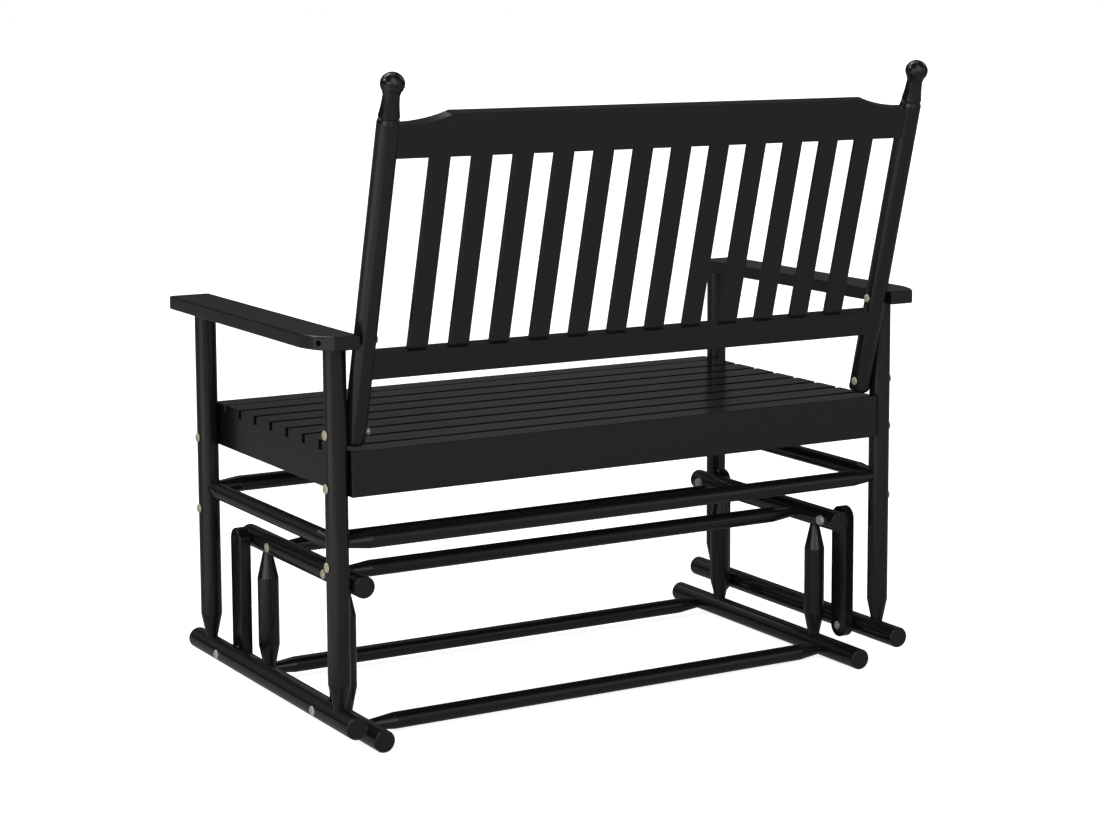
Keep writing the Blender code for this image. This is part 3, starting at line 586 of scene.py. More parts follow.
@dataclass(frozen=True)
class PlatedSteel:
    """Turned steel, plated with zinc or blackened.

    The bath leaves a satin metal with a faint cloud in its tone, and the tool leaves fine rings
    about the bolt's axis.

    Attributes:
        roughness: The middle of the coat's range, with roughness_spread either way.
        ring_spacing: How far the tool's rings lie apart. Real ones are 0.1 mm and wouldn't show.
        ring_relief: How far they stand up.
        cloud_size: How large the clouds in the tone are.
    """

    plating: Plating
    roughness: float = 0.68
    roughness_spread: float = 0.08
    ring_spacing: float = 0.0006
    ring_relief: float = 0.00002
    bump: float = 0.2
    cloud_size: float = 0.004

    def material(self) -> Material:
        """Return the plated steel as a material that reads the bolt's own axis."""
        material, tree, shader = start_finish(f"steel_{self.plating.name.lower()}")
        stock = add_node(tree, "ShaderNodeAttribute", attribute_name=STOCK).outputs["Vector"]
        cloud = noise(tree, stock, 1 / self.cloud_size).outputs["Fac"]
        bump = add_node(tree, "ShaderNodeBump", {
            "Strength": self.bump, "Distance": self.ring_relief,
            "Height": rings(tree, stock, self.ring_spacing)})
        feed(tree, shader, {
            "Base Color": blend(tree, *self.plating.value, cloud),
            "Roughness": sheen(tree, self.roughness, self.roughness_spread, cloud),
            "Normal": bump, "Metallic": 1.0})
        return material


@dataclass
class Workshop:
    """The shape trees and finishes, and the steps that every piece goes through."""

    lathe: NodeTree
    saw: NodeTree
    fasteners: NodeTree
    paint: Material
    clear_zinc: Material
    yellow_zinc: Material
    black_oxide: Material
    stock_step: float = 0.37
    stock_spread: float = 0.021
    made: int = 0

    def turned(self, profile: Outline, place: Matrix = UPRIGHT, rounding: float = 0.0012,
               finish: Material | None = None, facets: int = 48) -> Mesh:
        """Turn a piece and put it in its place.

        Args:
            profile: The (radius, height) points from the lower to the upper end.
            place: Where the piece's own axis lies in the frame.
            rounding: The radius at each corner of the profile.
            finish: The material, which is the paint if it isn't given.
            facets: How many facets the round has.

        Returns:
            The mesh in its place.
        """
        self.made += 1
        shift = (self.stock_step * self.made, self.stock_spread * math.sin(self.made),
                 self.stock_spread * math.cos(self.made))
        mesh = grow(self.lathe, line_mesh(profile), {
            "Rounding": rounding, "Facets": facets, "Shift": shift, "Finish": finish or self.paint})
        mesh.transform(place)
        return mesh

    def boards(self, outline: Outline, thickness: float, place: Matrix, edge: float,
               count: int = 1, step: Point = (0.0, 0.0, 0.0), end_grain: bool = False,
               square_below: bool = False, cutters: tuple[Object, ...] = ()) -> Mesh:
        """Cut a board, or a row of equal boards, and put it in its place.

        Args:
            outline: The board's outline in its own XY plane.
            thickness: The board's thickness, along its own Z axis, about the outline's plane.
            place: Where the outline's plane lies in the frame.
            edge: The radius of the rounded edges.
            count: How many boards the row has.
            step: How far each board lies from the one before.
            end_grain: Whether the grain runs along the thickness.
            square_below: Whether the lower edges stay square.
            cutters: Objects that are cut from the board, in its own axes.

        Returns:
            The mesh in its place.
        """
        self.made += 1
        source = face_mesh(outline)
        source.transform(Matrix.Translation((0.0, 0.0, -thickness / 2)))
        mesh = grow(self.saw, source, {
            "Thickness": thickness, "Count": count, "Step": step, "End Grain": end_grain,
            "Square Below": square_below, "Seed": self.made, "Finish": self.paint}, edge, cutters)
        mesh.transform(place)
        return mesh

    def bolted(self, bolt: Object, places: list[Spot], finish: Material) -> Mesh:
        """Set a bolt on each place.

        Args:
            bolt: The bolt, which stands on its own XY plane and faces +Z.
            places: The point and the direction of each bolt.
            finish: The bolts' material.

        Returns:
            The mesh of all the bolts.
        """
        self.made += 1
        points = bpy.data.meshes.new("bolt_places")
        points.from_pydata([point for point, _ in places], [], [])
        facing = points.attributes.new("facing", "FLOAT_VECTOR", "POINT")
        for row, (_, direction) in zip(facing.data, places):
            row.vector = direction
        return grow(self.fasteners, points, {"Bolt": bolt, "Seed": self.made, "Finish": finish})

    def keep(self, name: str, meshes: list[Mesh], body: str, nodes: list[str],
             slot: str = WOOD_SLOT) -> None:
        """Make one piece of finished meshes, tie it to its body, and hide the nodes that it stands for.

        Args:
            name: The piece's name.
            meshes: The meshes, in their places.
            body: The body that the piece rides on.
            nodes: The nodes that the piece stands for.
            slot: A material slot's name, which is not used.
        """
        piece = join(name, meshes)
        piece.data.name = name
        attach(piece, body)
        if nodes:
            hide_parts(*nodes)
        LOG.info("%s: %d faces on %s", name, len(piece.data.polygons), body)


@dataclass(frozen=True)
class Ends:
    """How the two ends of a dowel are turned down, and how far they run into their sockets.

    Attributes:
        foot_radius: The radius of the lower or first end.
        foot_taper: The length of its taper.
        top_radius: The radius of the upper or last end.
        top_taper: The length of its taper, or zero for a square shoulder.
        reach: How far both ends run into their sockets.
    """

    foot_radius: float
    foot_taper: float
    top_radius: float
    top_taper: float
    reach: float

    def profile(self, low: float, high: float, radius: float) -> Outline:
        """Return the profile of a dowel of a radius that has these ends, between two heights."""
        foot, top = low + self.reach, high - self.reach
        return [(0.0, low), (self.foot_radius, low), (self.foot_radius, foot),
                (radius, foot + self.foot_taper), (radius, top - self.top_taper),
                (self.top_radius, top), (self.top_radius, high), (0.0, high)]


@dataclass
class Dowels:
    """The round stock, and the pieces that are turned from it, each in the place of its node.

    A node's name starts with its body, and the rest of it is the piece's name.
    """

    shop: Workshop
    radius: float = 0.0175
    cross_radius: float = 0.0135
    end_rounding: float = 0.0018
    corner_rounding: float = 0.0012

    def keep(self, node: str, profile: Outline, place: Matrix, rounding: float) -> None:
        """Turn the piece that stands for a node, and keep it."""
        body, name = node.split("_", 1)
        self.shop.keep(name, [self.shop.turned(profile, place, rounding)], body, [node])

    def rail(self, node: str) -> None:
        """Turn a plain rail that runs from front to rear."""
        half = length(node, 1) / 2
        self.keep(node, cylinder(self.radius, -half, half), turn_to("Y", middle(node)),
                  self.end_rounding)

    def cross(self, node: str, axis: int, ends: Ends) -> None:
        """Turn a thin dowel that lies along an axis, with its tapered ends."""
        half = length(node, axis) / 2
        self.keep(node, ends.profile(-half, half, self.cross_radius),
                  turn_to("XYZ"[axis], middle(node)), self.corner_rounding)

    def post(self, node: str, ends: Ends, rounding: float) -> None:
        """Turn an upright piece, with its tapered ends and the radius of its corners."""
        low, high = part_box(node)
        centre = middle(node)
        self.keep(node, ends.profile(low.z, high.z, self.radius),
                  turn_to("Z", Vector((centre.x, centre.y, 0.0))), rounding)


@dataclass
class GliderBase:
    """The base that stands on the floor: rails, uprights, hanger rails and cross dowels."""

    dowels: Dowels
    upright_ends: Ends = Ends(0.0102, 0.036, 0.0082, 0.042, 0.0097)
    cross_ends: Ends = Ends(0.008, 0.045, 0.008, 0.045, 0.0097)

    def build(self) -> None:
        """Build every wooden piece of the base."""
        for side in SIDES:
            self.dowels.rail(f"base_floor_rail_{side}")
            self.dowels.rail(f"base_hanger_rail_{side}")
            for end in ENDS:
                self.dowels.post(f"base_upright_{end}_{side}", self.upright_ends,
                                 self.dowels.corner_rounding)
        for end in ENDS:
            for kind in ("floor_cross", "top_cross"):
                self.dowels.cross(f"base_{kind}_{end}", 0, self.cross_ends)


@dataclass
class SwingLinks:
    """The four flat links that carry the seat."""

    shop: Workshop
    thickness: float = 0.020
    edge: float = 0.0025

    def build(self) -> None:
        """Cut the four links, each with round ends about its pivots."""
        for end in ENDS:
            for side in SIDES:
                node = f"swing_link_{end}_{side}"
                half = length(node, 1) / 2
                reach = length(node, 2) / 2 - half
                outline = arc((reach, 0.0), half, -QUARTER, QUARTER, CURVE_STEPS)
                outline += arc((-reach, 0.0), half, QUARTER, 3 * QUARTER, CURVE_STEPS)
                place = Matrix.Translation(middle(node)) @ Matrix.Rotation(-QUARTER, 4, "Y")
                mesh = self.shop.boards(outline, self.thickness, place, self.edge)
                self.shop.keep(f"link_{end}_{side}", [mesh], f"link_{end}_{side}", [node])


@dataclass
class SeatFrame:
    """The seat's posts, bottom rails and stretchers."""

    dowels: Dowels
    post_ends: Ends = Ends(0.0097, 0.038, 0.009, 0.0, 0.0117)
    stretcher_ends: Ends = Ends(0.009, 0.036, 0.009, 0.036, 0.0073)
    post_rounding: float = 0.0008

    def build(self) -> None:
        """Build every wooden piece of the seat frame."""
        for side in SIDES:
            self.dowels.rail(f"seat_bottom_rail_{side}")
            self.dowels.cross(f"seat_side_stretcher_{side}", 1, self.stretcher_ends)
            for end in ENDS:
                self.dowels.post(f"seat_post_{end}_{side}", self.post_ends, self.post_rounding)
        for end in ENDS:
            self.dowels.cross(f"seat_{end}_stretcher", 0, self.stretcher_ends)


@dataclass
class SeatPanel:
    """The panel that one sits on: end boards, side aprons, a middle bearer and seven slats."""

    shop: Workshop
    slat_thickness: float = 0.0138
    slat_play: float = 0.0003
    front_board: float = 0.0505
    rear_board: float = 0.0466
    end_apron: float = 0.026
    side_apron: float = 0.018
    bearer: float = 0.030
    edge: float = 0.002
    slat_edge: float = 0.0006
    slat_ease: float = 0.002
    front_rounding: float = 0.006
    slats: int = 7

    def build(self) -> None:
        """Build the panel's frame and lay the slats."""
        low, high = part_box("seat_panel_frame")
        bed = high.z - self.slat_thickness - self.slat_play
        across = Matrix(((0, 0, 1, 0), (1, 0, 0, 0), (0, 1, 0, 0), (0, 0, 0, 1)))
        front = self.end_section(low.z, bed, high.z, -low.y, self.front_board, self.front_rounding)
        rear = self.end_section(low.z, bed, high.z, high.y, self.rear_board, 0.0)
        meshes = [self.shop.boards(outline, high.x - low.x, across, self.edge, end_grain=True)
                  for outline in (mirrored(front), rear)]
        depth = high.y - low.y - 2 * self.end_apron
        half = self.side_apron / 2
        for x, thickness in ((high.x - half, self.side_apron), (0.0, self.bearer),
                             (low.x + half, self.side_apron)):
            place = Matrix.Translation((x, 0.0, 0.0)) @ Matrix.Rotation(QUARTER, 4, "X")
            section = self.side_section(low.z, bed, thickness)
            meshes.append(self.shop.boards(section, depth, place, 0.0, end_grain=True))
        self.shop.keep("seat_panel", meshes, "seat", ["seat_panel_frame"])
        self.lay_slats()

    def end_section(self, bottom: float, bed: float, top: float, outer: float, board: float,
                    rounding: float) -> Outline:
        """Return the section of an end apron and its edge board, in one piece.

        Args:
            bottom: The apron's lower edge.
            bed: The height that the slats lie on.
            top: The seat's height.
            outer: How far the outer face lies from the middle.
            board: The width of the edge board.
            rounding: The radius of the upper outer corner, or zero.

        Returns:
            The section, anticlockwise, with the outer face at positive Y.
        """
        inner = outer - self.end_apron
        section = [(inner, bottom), (outer, bottom)]
        if rounding:
            section += arc((outer - rounding, top - rounding), rounding, 0.0, QUARTER, CORNER_STEPS)
        else:
            section.append((outer, top))
        return section + [(outer - board, top), (outer - board, bed), (inner, bed)]

    def side_section(self, bottom: float, bed: float, thickness: float) -> Outline:
        """Return the section of a side apron, with its lower edges rounded and its upper ones square."""
        half, radius = thickness / 2, self.edge
        points = arc((half - radius, bottom + radius), radius, -QUARTER, 0.0, ROUNDING_STEPS)
        points += [(half, bed), (-half, bed)]
        return points + arc((radius - half, bottom + radius), radius, math.pi, 3 * QUARTER,
                            ROUNDING_STEPS)

    def lay_slats(self) -> None:
        """Lay the slats from the front to the rear."""
        nodes = [f"seat_slat_{number:02d}" for number in range(1, self.slats + 1)]
        first, last = middle(nodes[0]), middle(nodes[-1])
        step = (last - first) / (self.slats - 1)
        outline = rectangle(length(nodes[0], 0), length(nodes[0], 1) - 2 * self.slat_ease)
        mesh = self.shop.boards(outline, self.slat_thickness, Matrix.Translation(first),
                                self.slat_edge, self.slats, tuple(step), square_below=True)
        self.shop.keep("seat_slats", [mesh], "seat", nodes)


@dataclass
class Armrests:
    """The two armrests, each with a curve at its rear outer corner and a counterbored bolt hole."""

    shop: Workshop
    edge: float = 0.003
    corner: float = 0.007
    curve_radius: float = 0.114
    curve_length: float = 0.0755
    bore_radius: float = 0.0045
    bore_depth: float = 0.030
    bolt_y: float = 0.2871

    def build(self) -> None:
        """Cut both armrests. The grain runs from front to rear, so a board is cut along X and turned."""
        quarter = Matrix.Rotation(QUARTER, 4, "Z")
        for side, sign in SIDES.items():
            node = f"armrest_{side}"
            low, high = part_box(node)
            inner, outer = (low.x, high.x) if sign > 0 else (-high.x, -low.x)
            points = self.outline(inner, outer, low.y, high.y)
            start = self.outer_x(outer, high.y, self.bolt_y)
            bore = cylinder(self.bore_radius, start - self.bore_depth, start + self.bore_radius)
            drill = tool(self.shop.turned(bore, turn_to("X", Vector((0.0, self.bolt_y, 0.0))), 0.0,
                                          facets=BOLT_FACETS))
            if sign < 0:
                points = mirrored(points)
                drill.data.transform(Matrix.Scale(-1, 4, (1, 0, 0)))
                drill.data.flip_normals()
            lying = [tuple((quarter.inverted() @ Vector((x, y, 0.0)))[:2]) for x, y in points]
            drill.data.transform(quarter.inverted())
            place = Matrix.Translation((0.0, 0.0, (low.z + high.z) / 2)) @ quarter
            mesh = self.shop.boards(lying, high.z - low.z, place, self.edge, cutters=(drill,))
            bpy.data.objects.remove(drill)
            self.shop.keep(f"arm_{side}", [mesh], "seat", [node])

    def outline(self, inner: float, outer: float, front: float, rear: float) -> Outline:
        """Return an armrest's outline, seen from above, with its outer edge at positive X."""
        corner, radius = self.corner, self.curve_radius
        points = arc((inner + corner, front + corner), corner, math.pi, 3 * QUARTER, CORNER_STEPS)
        points += arc((outer - corner, front + corner), corner, 3 * QUARTER, 4 * QUARTER, CORNER_STEPS)
        points += arc((outer - radius, rear - self.curve_length), radius, 0.0,
                      math.asin(self.curve_length / radius), CURVE_STEPS)
        return points + [(inner, rear)]

    def outer_x(self, outer: float, rear: float, y: float) -> float:
        """Return where the curved outer edge lies at a place along the armrest."""
        rise = max(y - rear + self.curve_length, 0.0)
        return outer - self.curve_radius + math.sqrt(self.curve_radius ** 2 - rise ** 2)


@dataclass
class Backrest:
    """The leaning back: two turned posts with finials, two rails and twelve slats.

    Lengths up the back are measured along the posts' axes from the height of their lower bolt.
    """

    shop: Workshop
    dowels: Dowels
    lean: float = math.radians(15.19)
    axis_y: float = 0.2476
    bolt_height: float = 0.4947
    post_x: float = 0.4737
    post_drop: float = 0.0194
    post_rounding: float = 0.0007
    end_rounding: float = 0.006
    lower_reach: float = 0.0877
    lower_width: float = 0.0424
    crest_reach: float = 0.4374
    crest_width: float = 0.0669
    scoop_run: float = 0.083
    scoop_drop: float = 0.0158
    scoop_steps: int = 14
    rail_thickness: float = 0.022
    rail_edge: float = 0.0015
    rail_root: float = 0.009
    slats: int = 12
    slat_width: float = 0.0325
    slat_thickness: float = 0.010
    slat_offset: float = 0.0035
    slat_lean: float = math.radians(0.45)
    slat_edge: float = 0.0008
    foot_gap: float = 0.0042
    foot_depth: float = 0.005
    mortise: float = 0.0117
    mortise_room: float = 0.0009
    shoulder_reach: float = 0.4963
    shoulder_drop: float = 0.0055
    shoulder_inset: float = 0.0015
    groove_rise: float = 0.0008
    groove_radius: float = 0.0146
    flare_height: float = 0.0035
    flare_radius: float = 0.0165
    neck_height: float = 0.032
    neck_radius: float = 0.0128
    neck_hollow: float = 0.0006
    neck_steps: int = 8
    ball_radius: float = 0.0185
    ball_height: float = 0.035
    ball_steps: int = 16

    def place(self, x: float, along: float, out: float = 0.0) -> Matrix:
        """Return a frame on the back.

        Args:
            x: The place across the bench.
            along: The distance up the back.
            out: The distance behind the middle plane of the back.

        Returns:
            The frame, with X across, Y up the back and Z out of its front face.
        """
        y = self.axis_y + along * math.sin(self.lean) + out * math.cos(self.lean)
        z = self.bolt_height + along * math.cos(self.lean) - out * math.sin(self.lean)
        return Matrix.Translation((x, y, z)) @ Matrix.Rotation(QUARTER - self.lean, 4, "X")

    def build(self) -> None:
        """Build the posts, the rails and the slats."""
        for side, sign in SIDES.items():
            place = self.place(sign * self.post_x, 0.0) @ Matrix.Rotation(-QUARTER, 4, "X")
            mesh = self.shop.turned(self.post_profile(), place, self.post_rounding)
            self.shop.keep(f"back_post_with_finial_{side}", [mesh], "seat", [f"back_post_{side}"])
        room = 2 * self.mortise_room
        cutter = self.slat_row(self.slat_width + room, self.slat_thickness + room, 0.0)
        for name, outline, reach in (("crest_rail", self.crest_outline(), self.crest_reach),
                                     ("lower_rail", self.lower_outline(), self.lower_reach)):
            place = self.place(0.0, reach)
            local = tool(cutter.copy())
            local.data.transform(place.inverted())
            mesh = self.shop.boards(outline, self.rail_thickness, place, self.rail_edge,
                                    cutters=(local,))
            bpy.data.objects.remove(local)
            self.shop.keep(name, [mesh], "seat", [f"back_{name}"])
        nodes = [f"back_slat_{number:02d}" for number in range(1, self.slats + 1)]
        bar = self.foot_cutter()
        slats = self.slat_row(self.slat_width, self.slat_thickness, self.slat_edge, bar)
        bpy.data.objects.remove(bar)
        self.shop.keep("back_slats", [slats], "seat", nodes)

    def slat_place(self) -> Matrix:
        """Return the frame of the first slat, with X down its length and Z out of its front face."""
        low = self.lower_reach + self.lower_width - self.mortise
        high = self.crest_reach + self.mortise
        tilt = Matrix.Rotation(-self.slat_lean, 4, "X")
        across = Matrix.Rotation(QUARTER, 4, "Z")
        first = middle("back_slat_01").x
        return self.place(first, (low + high) / 2, self.slat_offset) @ tilt @ across

    def foot_cutter(self) -> Object:
        """Make the long bar that cuts the shadow gap behind every slat's foot, over the lower rail."""
        along = self.lower_reach + self.lower_width + self.foot_gap / 2
        place = self.place(0.0, along, self.slat_offset + self.slat_thickness / 2)
        bar = self.shop.boards(rectangle(2 * self.post_x, self.foot_gap), 2 * self.foot_depth, place, 0.0)
        bar.transform(self.slat_place().inverted())
        return tool(bar)

    def slat_row(self, width: float, thickness: float, edge: float, *cutters: Object) -> Mesh:
        """Cut the row of upright slats, each long enough to stand in both rails.

        Args:
            width: The slats' width.
            thickness: The slats' thickness.
            edge: The radius of their rounded edges.
            cutters: Objects that are cut from the row, in the first slat's own axes.

        Returns:
            The row's mesh.
        """
        run = self.crest_reach - self.lower_reach - self.lower_width + 2 * self.mortise
        first, last = middle("back_slat_01").x, middle(f"back_slat_{self.slats:02d}").x
        step = (last - first) / (self.slats - 1)
        return self.shop.boards(rectangle(run, width), thickness, self.slat_place(), edge, self.slats,
                                (0.0, -step, 0.0), cutters=cutters)

    def crest_outline(self) -> Outline:
        """Return the outline of the crest rail, scooped down to each post."""
        inner = self.post_x - self.dowels.radius
        radius = (self.scoop_run ** 2 + self.scoop_drop ** 2) / (2 * self.scoop_drop)
        low = self.crest_width - self.scoop_drop
        sweep = math.asin(self.scoop_run / radius)
        scoop = arc((inner, low + radius), radius, -QUARTER, -QUARTER - sweep, self.scoop_steps)
        right = [(inner + self.rail_root, 0.0), (inner + self.rail_root, low)] + scoop
        return right + mirrored(right)

    def lower_outline(self) -> Outline:
        """Return the outline of the straight lower rail."""
        end = self.post_x - self.dowels.radius + self.rail_root
        return [(-end, 0.0), (end, 0.0), (end, self.lower_width), (-end, self.lower_width)]

    def post_profile(self) -> Outline:
        """Return the profile of a back post: foot, shaft, shoulder, groove, neck and ball."""
        radius, rounding = self.dowels.radius, self.end_rounding
        foot, shoulder = -self.post_drop, self.shoulder_reach
        profile = [(0.0, foot)]
        profile += arc((radius - rounding, foot + rounding), rounding, -QUARTER, 0.0, CORNER_STEPS)
        profile += [(radius, shoulder - self.shoulder_drop), (radius - self.shoulder_inset, shoulder),
                    (self.groove_radius, shoulder + self.groove_rise)]
        flare = shoulder + self.flare_height
        for i in range(self.neck_steps + 1):
            share = i / self.neck_steps
            straight = self.flare_radius + (self.neck_radius - self.flare_radius) * share
            profile.append((straight - self.neck_hollow * math.sin(math.pi * share),
                            flare + self.neck_height * share))
        half = self.ball_height / 2
        centre = flare + self.neck_height + half
        start = -math.acos(self.neck_radius / self.ball_radius)
        for i in range(1, self.ball_steps + 1):
            angle = start + (QUARTER - start) * i / self.ball_steps
            profile.append((self.ball_radius * math.cos(angle), centre + half * math.sin(angle)))
        profile[-1] = (0.0, profile[-1][1])
        return profile


def spot(sign: float, x: float, y: float, z: float, facing: int = 1) -> Spot:
    """Return a bolt's place on one side of the bench, facing out, or in where facing is -1."""
    return Vector((sign * x, y, z)), Vector((sign * facing, 0.0, 0.0))


@dataclass
class Hardware:
    """The bolts: eight pivot bolts, and the small bolts that hold the frame together.

    A bolt's own zero is the underside of its head. Its rim, shoulder and dome are shares of the
    head's height, and overlap is how far its parts run into each other.
    """

    shop: Workshop
    back: Backrest
    head_radius: float = 0.0078
    head_height: float = 0.0026
    arm_head_radius: float = 0.0041
    cap_radius: float = 0.0068
    cap_height: float = 0.0020
    pivot_head_radius: float = 0.008
    pivot_head_height: float = 0.003
    pivot_cap_radius: float = 0.0072
    pivot_cap_height: float = 0.0018
    rim: float = 0.45
    shoulder: float = 0.38
    dome: float = 0.16
    head_rounding: float = 0.0003
    stub_radius: float = 0.0035
    stub_length: float = 0.002
    socket_radius: float = 0.0024
    socket_depth: float = 0.0017
    shank_radius: float = 0.004
    shank_tip: float = 0.0005
    shank_facets: int = 24
    overlap: float = 0.0002
    collar_radius: float = 0.0095
    washer_radius: float = 0.0085
    washer_out: float = 0.0004
    washer_in: float = 0.0003
    washer_rounding: float = 0.0001
    nut_radius: float = 0.0082
    nut_height: float = 0.0055
    nut_chamfer: float = 0.0009
    nut_room: float = 0.001
    link_thickness: float = 0.020
    rail: float = 0.035
    play: float = 0.002
    fit: float = 0.0003
    apron_bolt_height: float = 0.4125
    post_bolt_height: float = 0.2918
    arm_bolt_height: float = 0.640
    top_cross_y: float = 0.110

    def build(self) -> None:
        """Build all bolts, in one piece for each body and kind."""
        yellow = self.shop.yellow_zinc
        head = self.head(self.head_radius, self.head_height, yellow)
        cap = self.head(self.cap_radius, self.cap_height, yellow)
        arm_head = self.head(self.arm_head_radius, self.head_height, yellow)
        post, hanger = middle("seat_post_rear_left"), middle("base_hanger_rail_left")
        low_z, arm_z = self.back.bolt_height, self.arm_bolt_height
        arm_y = self.back.axis_y + (arm_z - low_z) * math.tan(self.back.lean)
        arms = Armrests(self.shop)
        _, arm_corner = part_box("armrest_left")
        bore_x = arms.outer_x(arm_corner.x, arm_corner.y, arm_y) - arms.bore_depth
        outer, hanger_x = post.x + self.rail / 2, hanger.x + self.rail / 2
        inner = self.back.post_x - self.rail / 2
        heads: list[Spot] = []
        arm_heads: list[Spot] = []
        caps: list[Spot] = []
        rail_heads: list[Spot] = []
        for sign in SIDES.values():
            for way in ENDS.values():
                for z in (self.apron_bolt_height, self.post_bolt_height):
                    heads.append(spot(sign, outer, way * post.y, z))
                rail_heads.append(spot(sign, hanger_x, way * self.top_cross_y, hanger.z))
            heads.append(spot(sign, outer, post.y, low_z))
            arm_heads.append(spot(sign, bore_x, arm_y, arm_z))
            for y, z in ((post.y, low_z), (arm_y, arm_z)):
                caps.append(spot(sign, inner, y, z, -1))
        meshes = [self.shop.bolted(bolt, places, yellow)
                  for bolt, places in ((head, heads), (arm_head, arm_heads), (cap, caps))]
        self.shop.keep("seat_frame_bolts", meshes, "seat", [], STEEL_SLOT)
        self.shop.keep("hanger_rail_bolts", [self.shop.bolted(head, rail_heads, yellow)], "base", [],
                       STEEL_SLOT)
        self.build_pivots()
        for helper in (head, arm_head, cap):
            bpy.data.objects.remove(helper)

    def head(self, radius: float, height: float, finish: Material) -> Object:
        """Make a low round bolt head with a hexagon socket, as a hidden helper."""
        profile = [(0.0, -self.stub_length), (self.stub_radius, -self.stub_length),
                   (self.stub_radius, 0.0), (radius, 0.0), (radius, height * self.rim),
                   (radius - height * self.shoulder, height - height * self.dome), (0.0, height)]
        socket = cylinder(self.socket_radius, height - self.socket_depth, 2 * height)
        key = tool(self.shop.turned(socket, UPRIGHT, 0.0, finish, HEXAGON))
        body = self.shop.turned(profile, UPRIGHT, self.head_rounding, finish, BOLT_FACETS)
        return tool(cut_mesh(body, key))

    def nut(self) -> Mesh:
        """Make a hexagon nut with chamfered corners, which stands on its own XY plane."""
        across, height, chamfer = self.nut_radius, self.nut_height, self.nut_chamfer
        inner, outer, zinc = across - chamfer, across + chamfer, self.shop.clear_zinc
        block = self.shop.turned(cylinder(across, 0.0, height), UPRIGHT, 0.0, zinc, HEXAGON)
        crown = [(0.0, -self.nut_room), (inner, -self.nut_room), (inner, 0.0), (outer, chamfer),
                 (outer, height - chamfer), (inner, height), (0.0, height)]
        rounder = tool(self.shop.turned(crown, UPRIGHT, 0.0, zinc, BOLT_FACETS))
        return cut_mesh(block, rounder, "INTERSECT")

    def build_pivots(self) -> None:
        """Build the top pivot bolts on the base and the low ones on the seat."""
        for level, body in (("top", "base"), ("low", "seat")):
            nodes = [f"pivot_bolt_{level}_{end}_{side}" for end in ENDS for side in SIDES]
            finish = self.shop.black_oxide if level == "top" else self.shop.clear_zinc
            head = self.head(self.pivot_head_radius, self.pivot_head_height, finish)
            shank = self.pivot(level)
            places = []
            for node in nodes:
                centre = middle(node)
                outer = max(abs(corner.x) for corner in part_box(node)) - self.pivot_head_height
                places.append(spot(math.copysign(1.0, centre.x), outer, centre.y, centre.z))
            meshes = [self.shop.bolted(head, places, finish),
                      self.shop.bolted(shank, places, self.shop.clear_zinc)]
            bpy.data.objects.remove(head)
            bpy.data.objects.remove(shank)
            self.shop.keep(f"pivot_bolts_{level}", meshes, body, nodes, STEEL_SLOT)

    def pivot(self, level: str) -> Object:
        """Make a pivot bolt's shank, collar, and nut or cap, as a hidden helper.

        Args:
            level: Whether it is a top or a low pivot.

        Returns:
            The helper, with the underside of its head on its own XY plane.
        """
        first, second = ((self.link_thickness, self.rail) if level == "top"
                         else (self.rail, self.link_thickness))
        collar_top = -first - 2 * self.fit
        collar_bottom = -first - self.play
        nut = collar_bottom - second - 2 * self.fit
        zinc = self.shop.clear_zinc
        inner = self.shank_radius - self.overlap
        collar = [(inner, collar_bottom), (self.collar_radius, collar_bottom),
                  (self.collar_radius, collar_top), (inner, collar_top), (inner, collar_bottom)]
        shank = cylinder(self.shank_radius, nut - self.shank_tip, self.overlap)
        parts = [self.shop.turned(shank, UPRIGHT, self.overlap, zinc, self.shank_facets),
                 self.shop.turned(collar, UPRIGHT, 0.0, zinc, BOLT_FACETS)]
        under = Matrix.Translation((0.0, 0.0, nut)) @ Matrix.Rotation(math.pi, 4, "X")
        if level == "top":
            fastening = self.nut()
            fastening.transform(under)
            washer = cylinder(self.washer_radius, nut - self.washer_out, nut + self.washer_in)
            parts += [fastening, self.shop.turned(washer, UPRIGHT, self.washer_rounding, zinc,
                                                  BOLT_FACETS)]
        else:
            cap = self.head(self.pivot_cap_radius, self.pivot_cap_height, zinc)
            cap.data.transform(under)
            parts.append(cap.data)
            bpy.data.objects.remove(cap)
        return tool(*parts)


@dataclass(frozen=True)
class Glow:
    """A soft bright patch of the room, which fades out evenly from its middle.

    Attributes:
        azimuth: Where its middle lies round the bench, in degrees from +X towards +Y.
        height: How high its middle lies over the horizon, in degrees.
        spread: The half angle at which it has faded out, in degrees.
        level: How bright its middle is.
    """

    azimuth: float
    height: float
    spread: float
    level: float

    def direction(self) -> Vector:
        """Return the direction of the patch's middle, seen from the bench."""
        turn, rise = math.radians(self.azimuth), math.radians(self.height)
        return Vector((math.cos(turn) * math.cos(rise), math.sin(turn) * math.cos(rise),
                       math.sin(rise)))


@dataclass(frozen=True)
class Lamp:
    """A soft flat lamp that the camera doesn't see.

    Attributes:
        name: The lamp's name.
        place: Where it hangs.
        aim: The point that it faces.
        size: Its width and height.
        power: Its power, in watts.
    """

    name: str
    place: Point
    aim: Point
    size: tuple[float, float]
    power: float

    def hang(self) -> None:
        """Hang the lamp."""
        light = bpy.data.lights.new(self.name, "AREA")
        light.shape = "RECTANGLE"
        light.size, light.size_y = self.size
        light.energy = self.power
        lamp = add_object(self.name, light)
        lamp.location = self.place
        facing = Vector(self.aim) - Vector(self.place)
        lamp.rotation_euler = facing.to_track_quat("-Z", "Y").to_euler()
        lamp.visible_camera = False


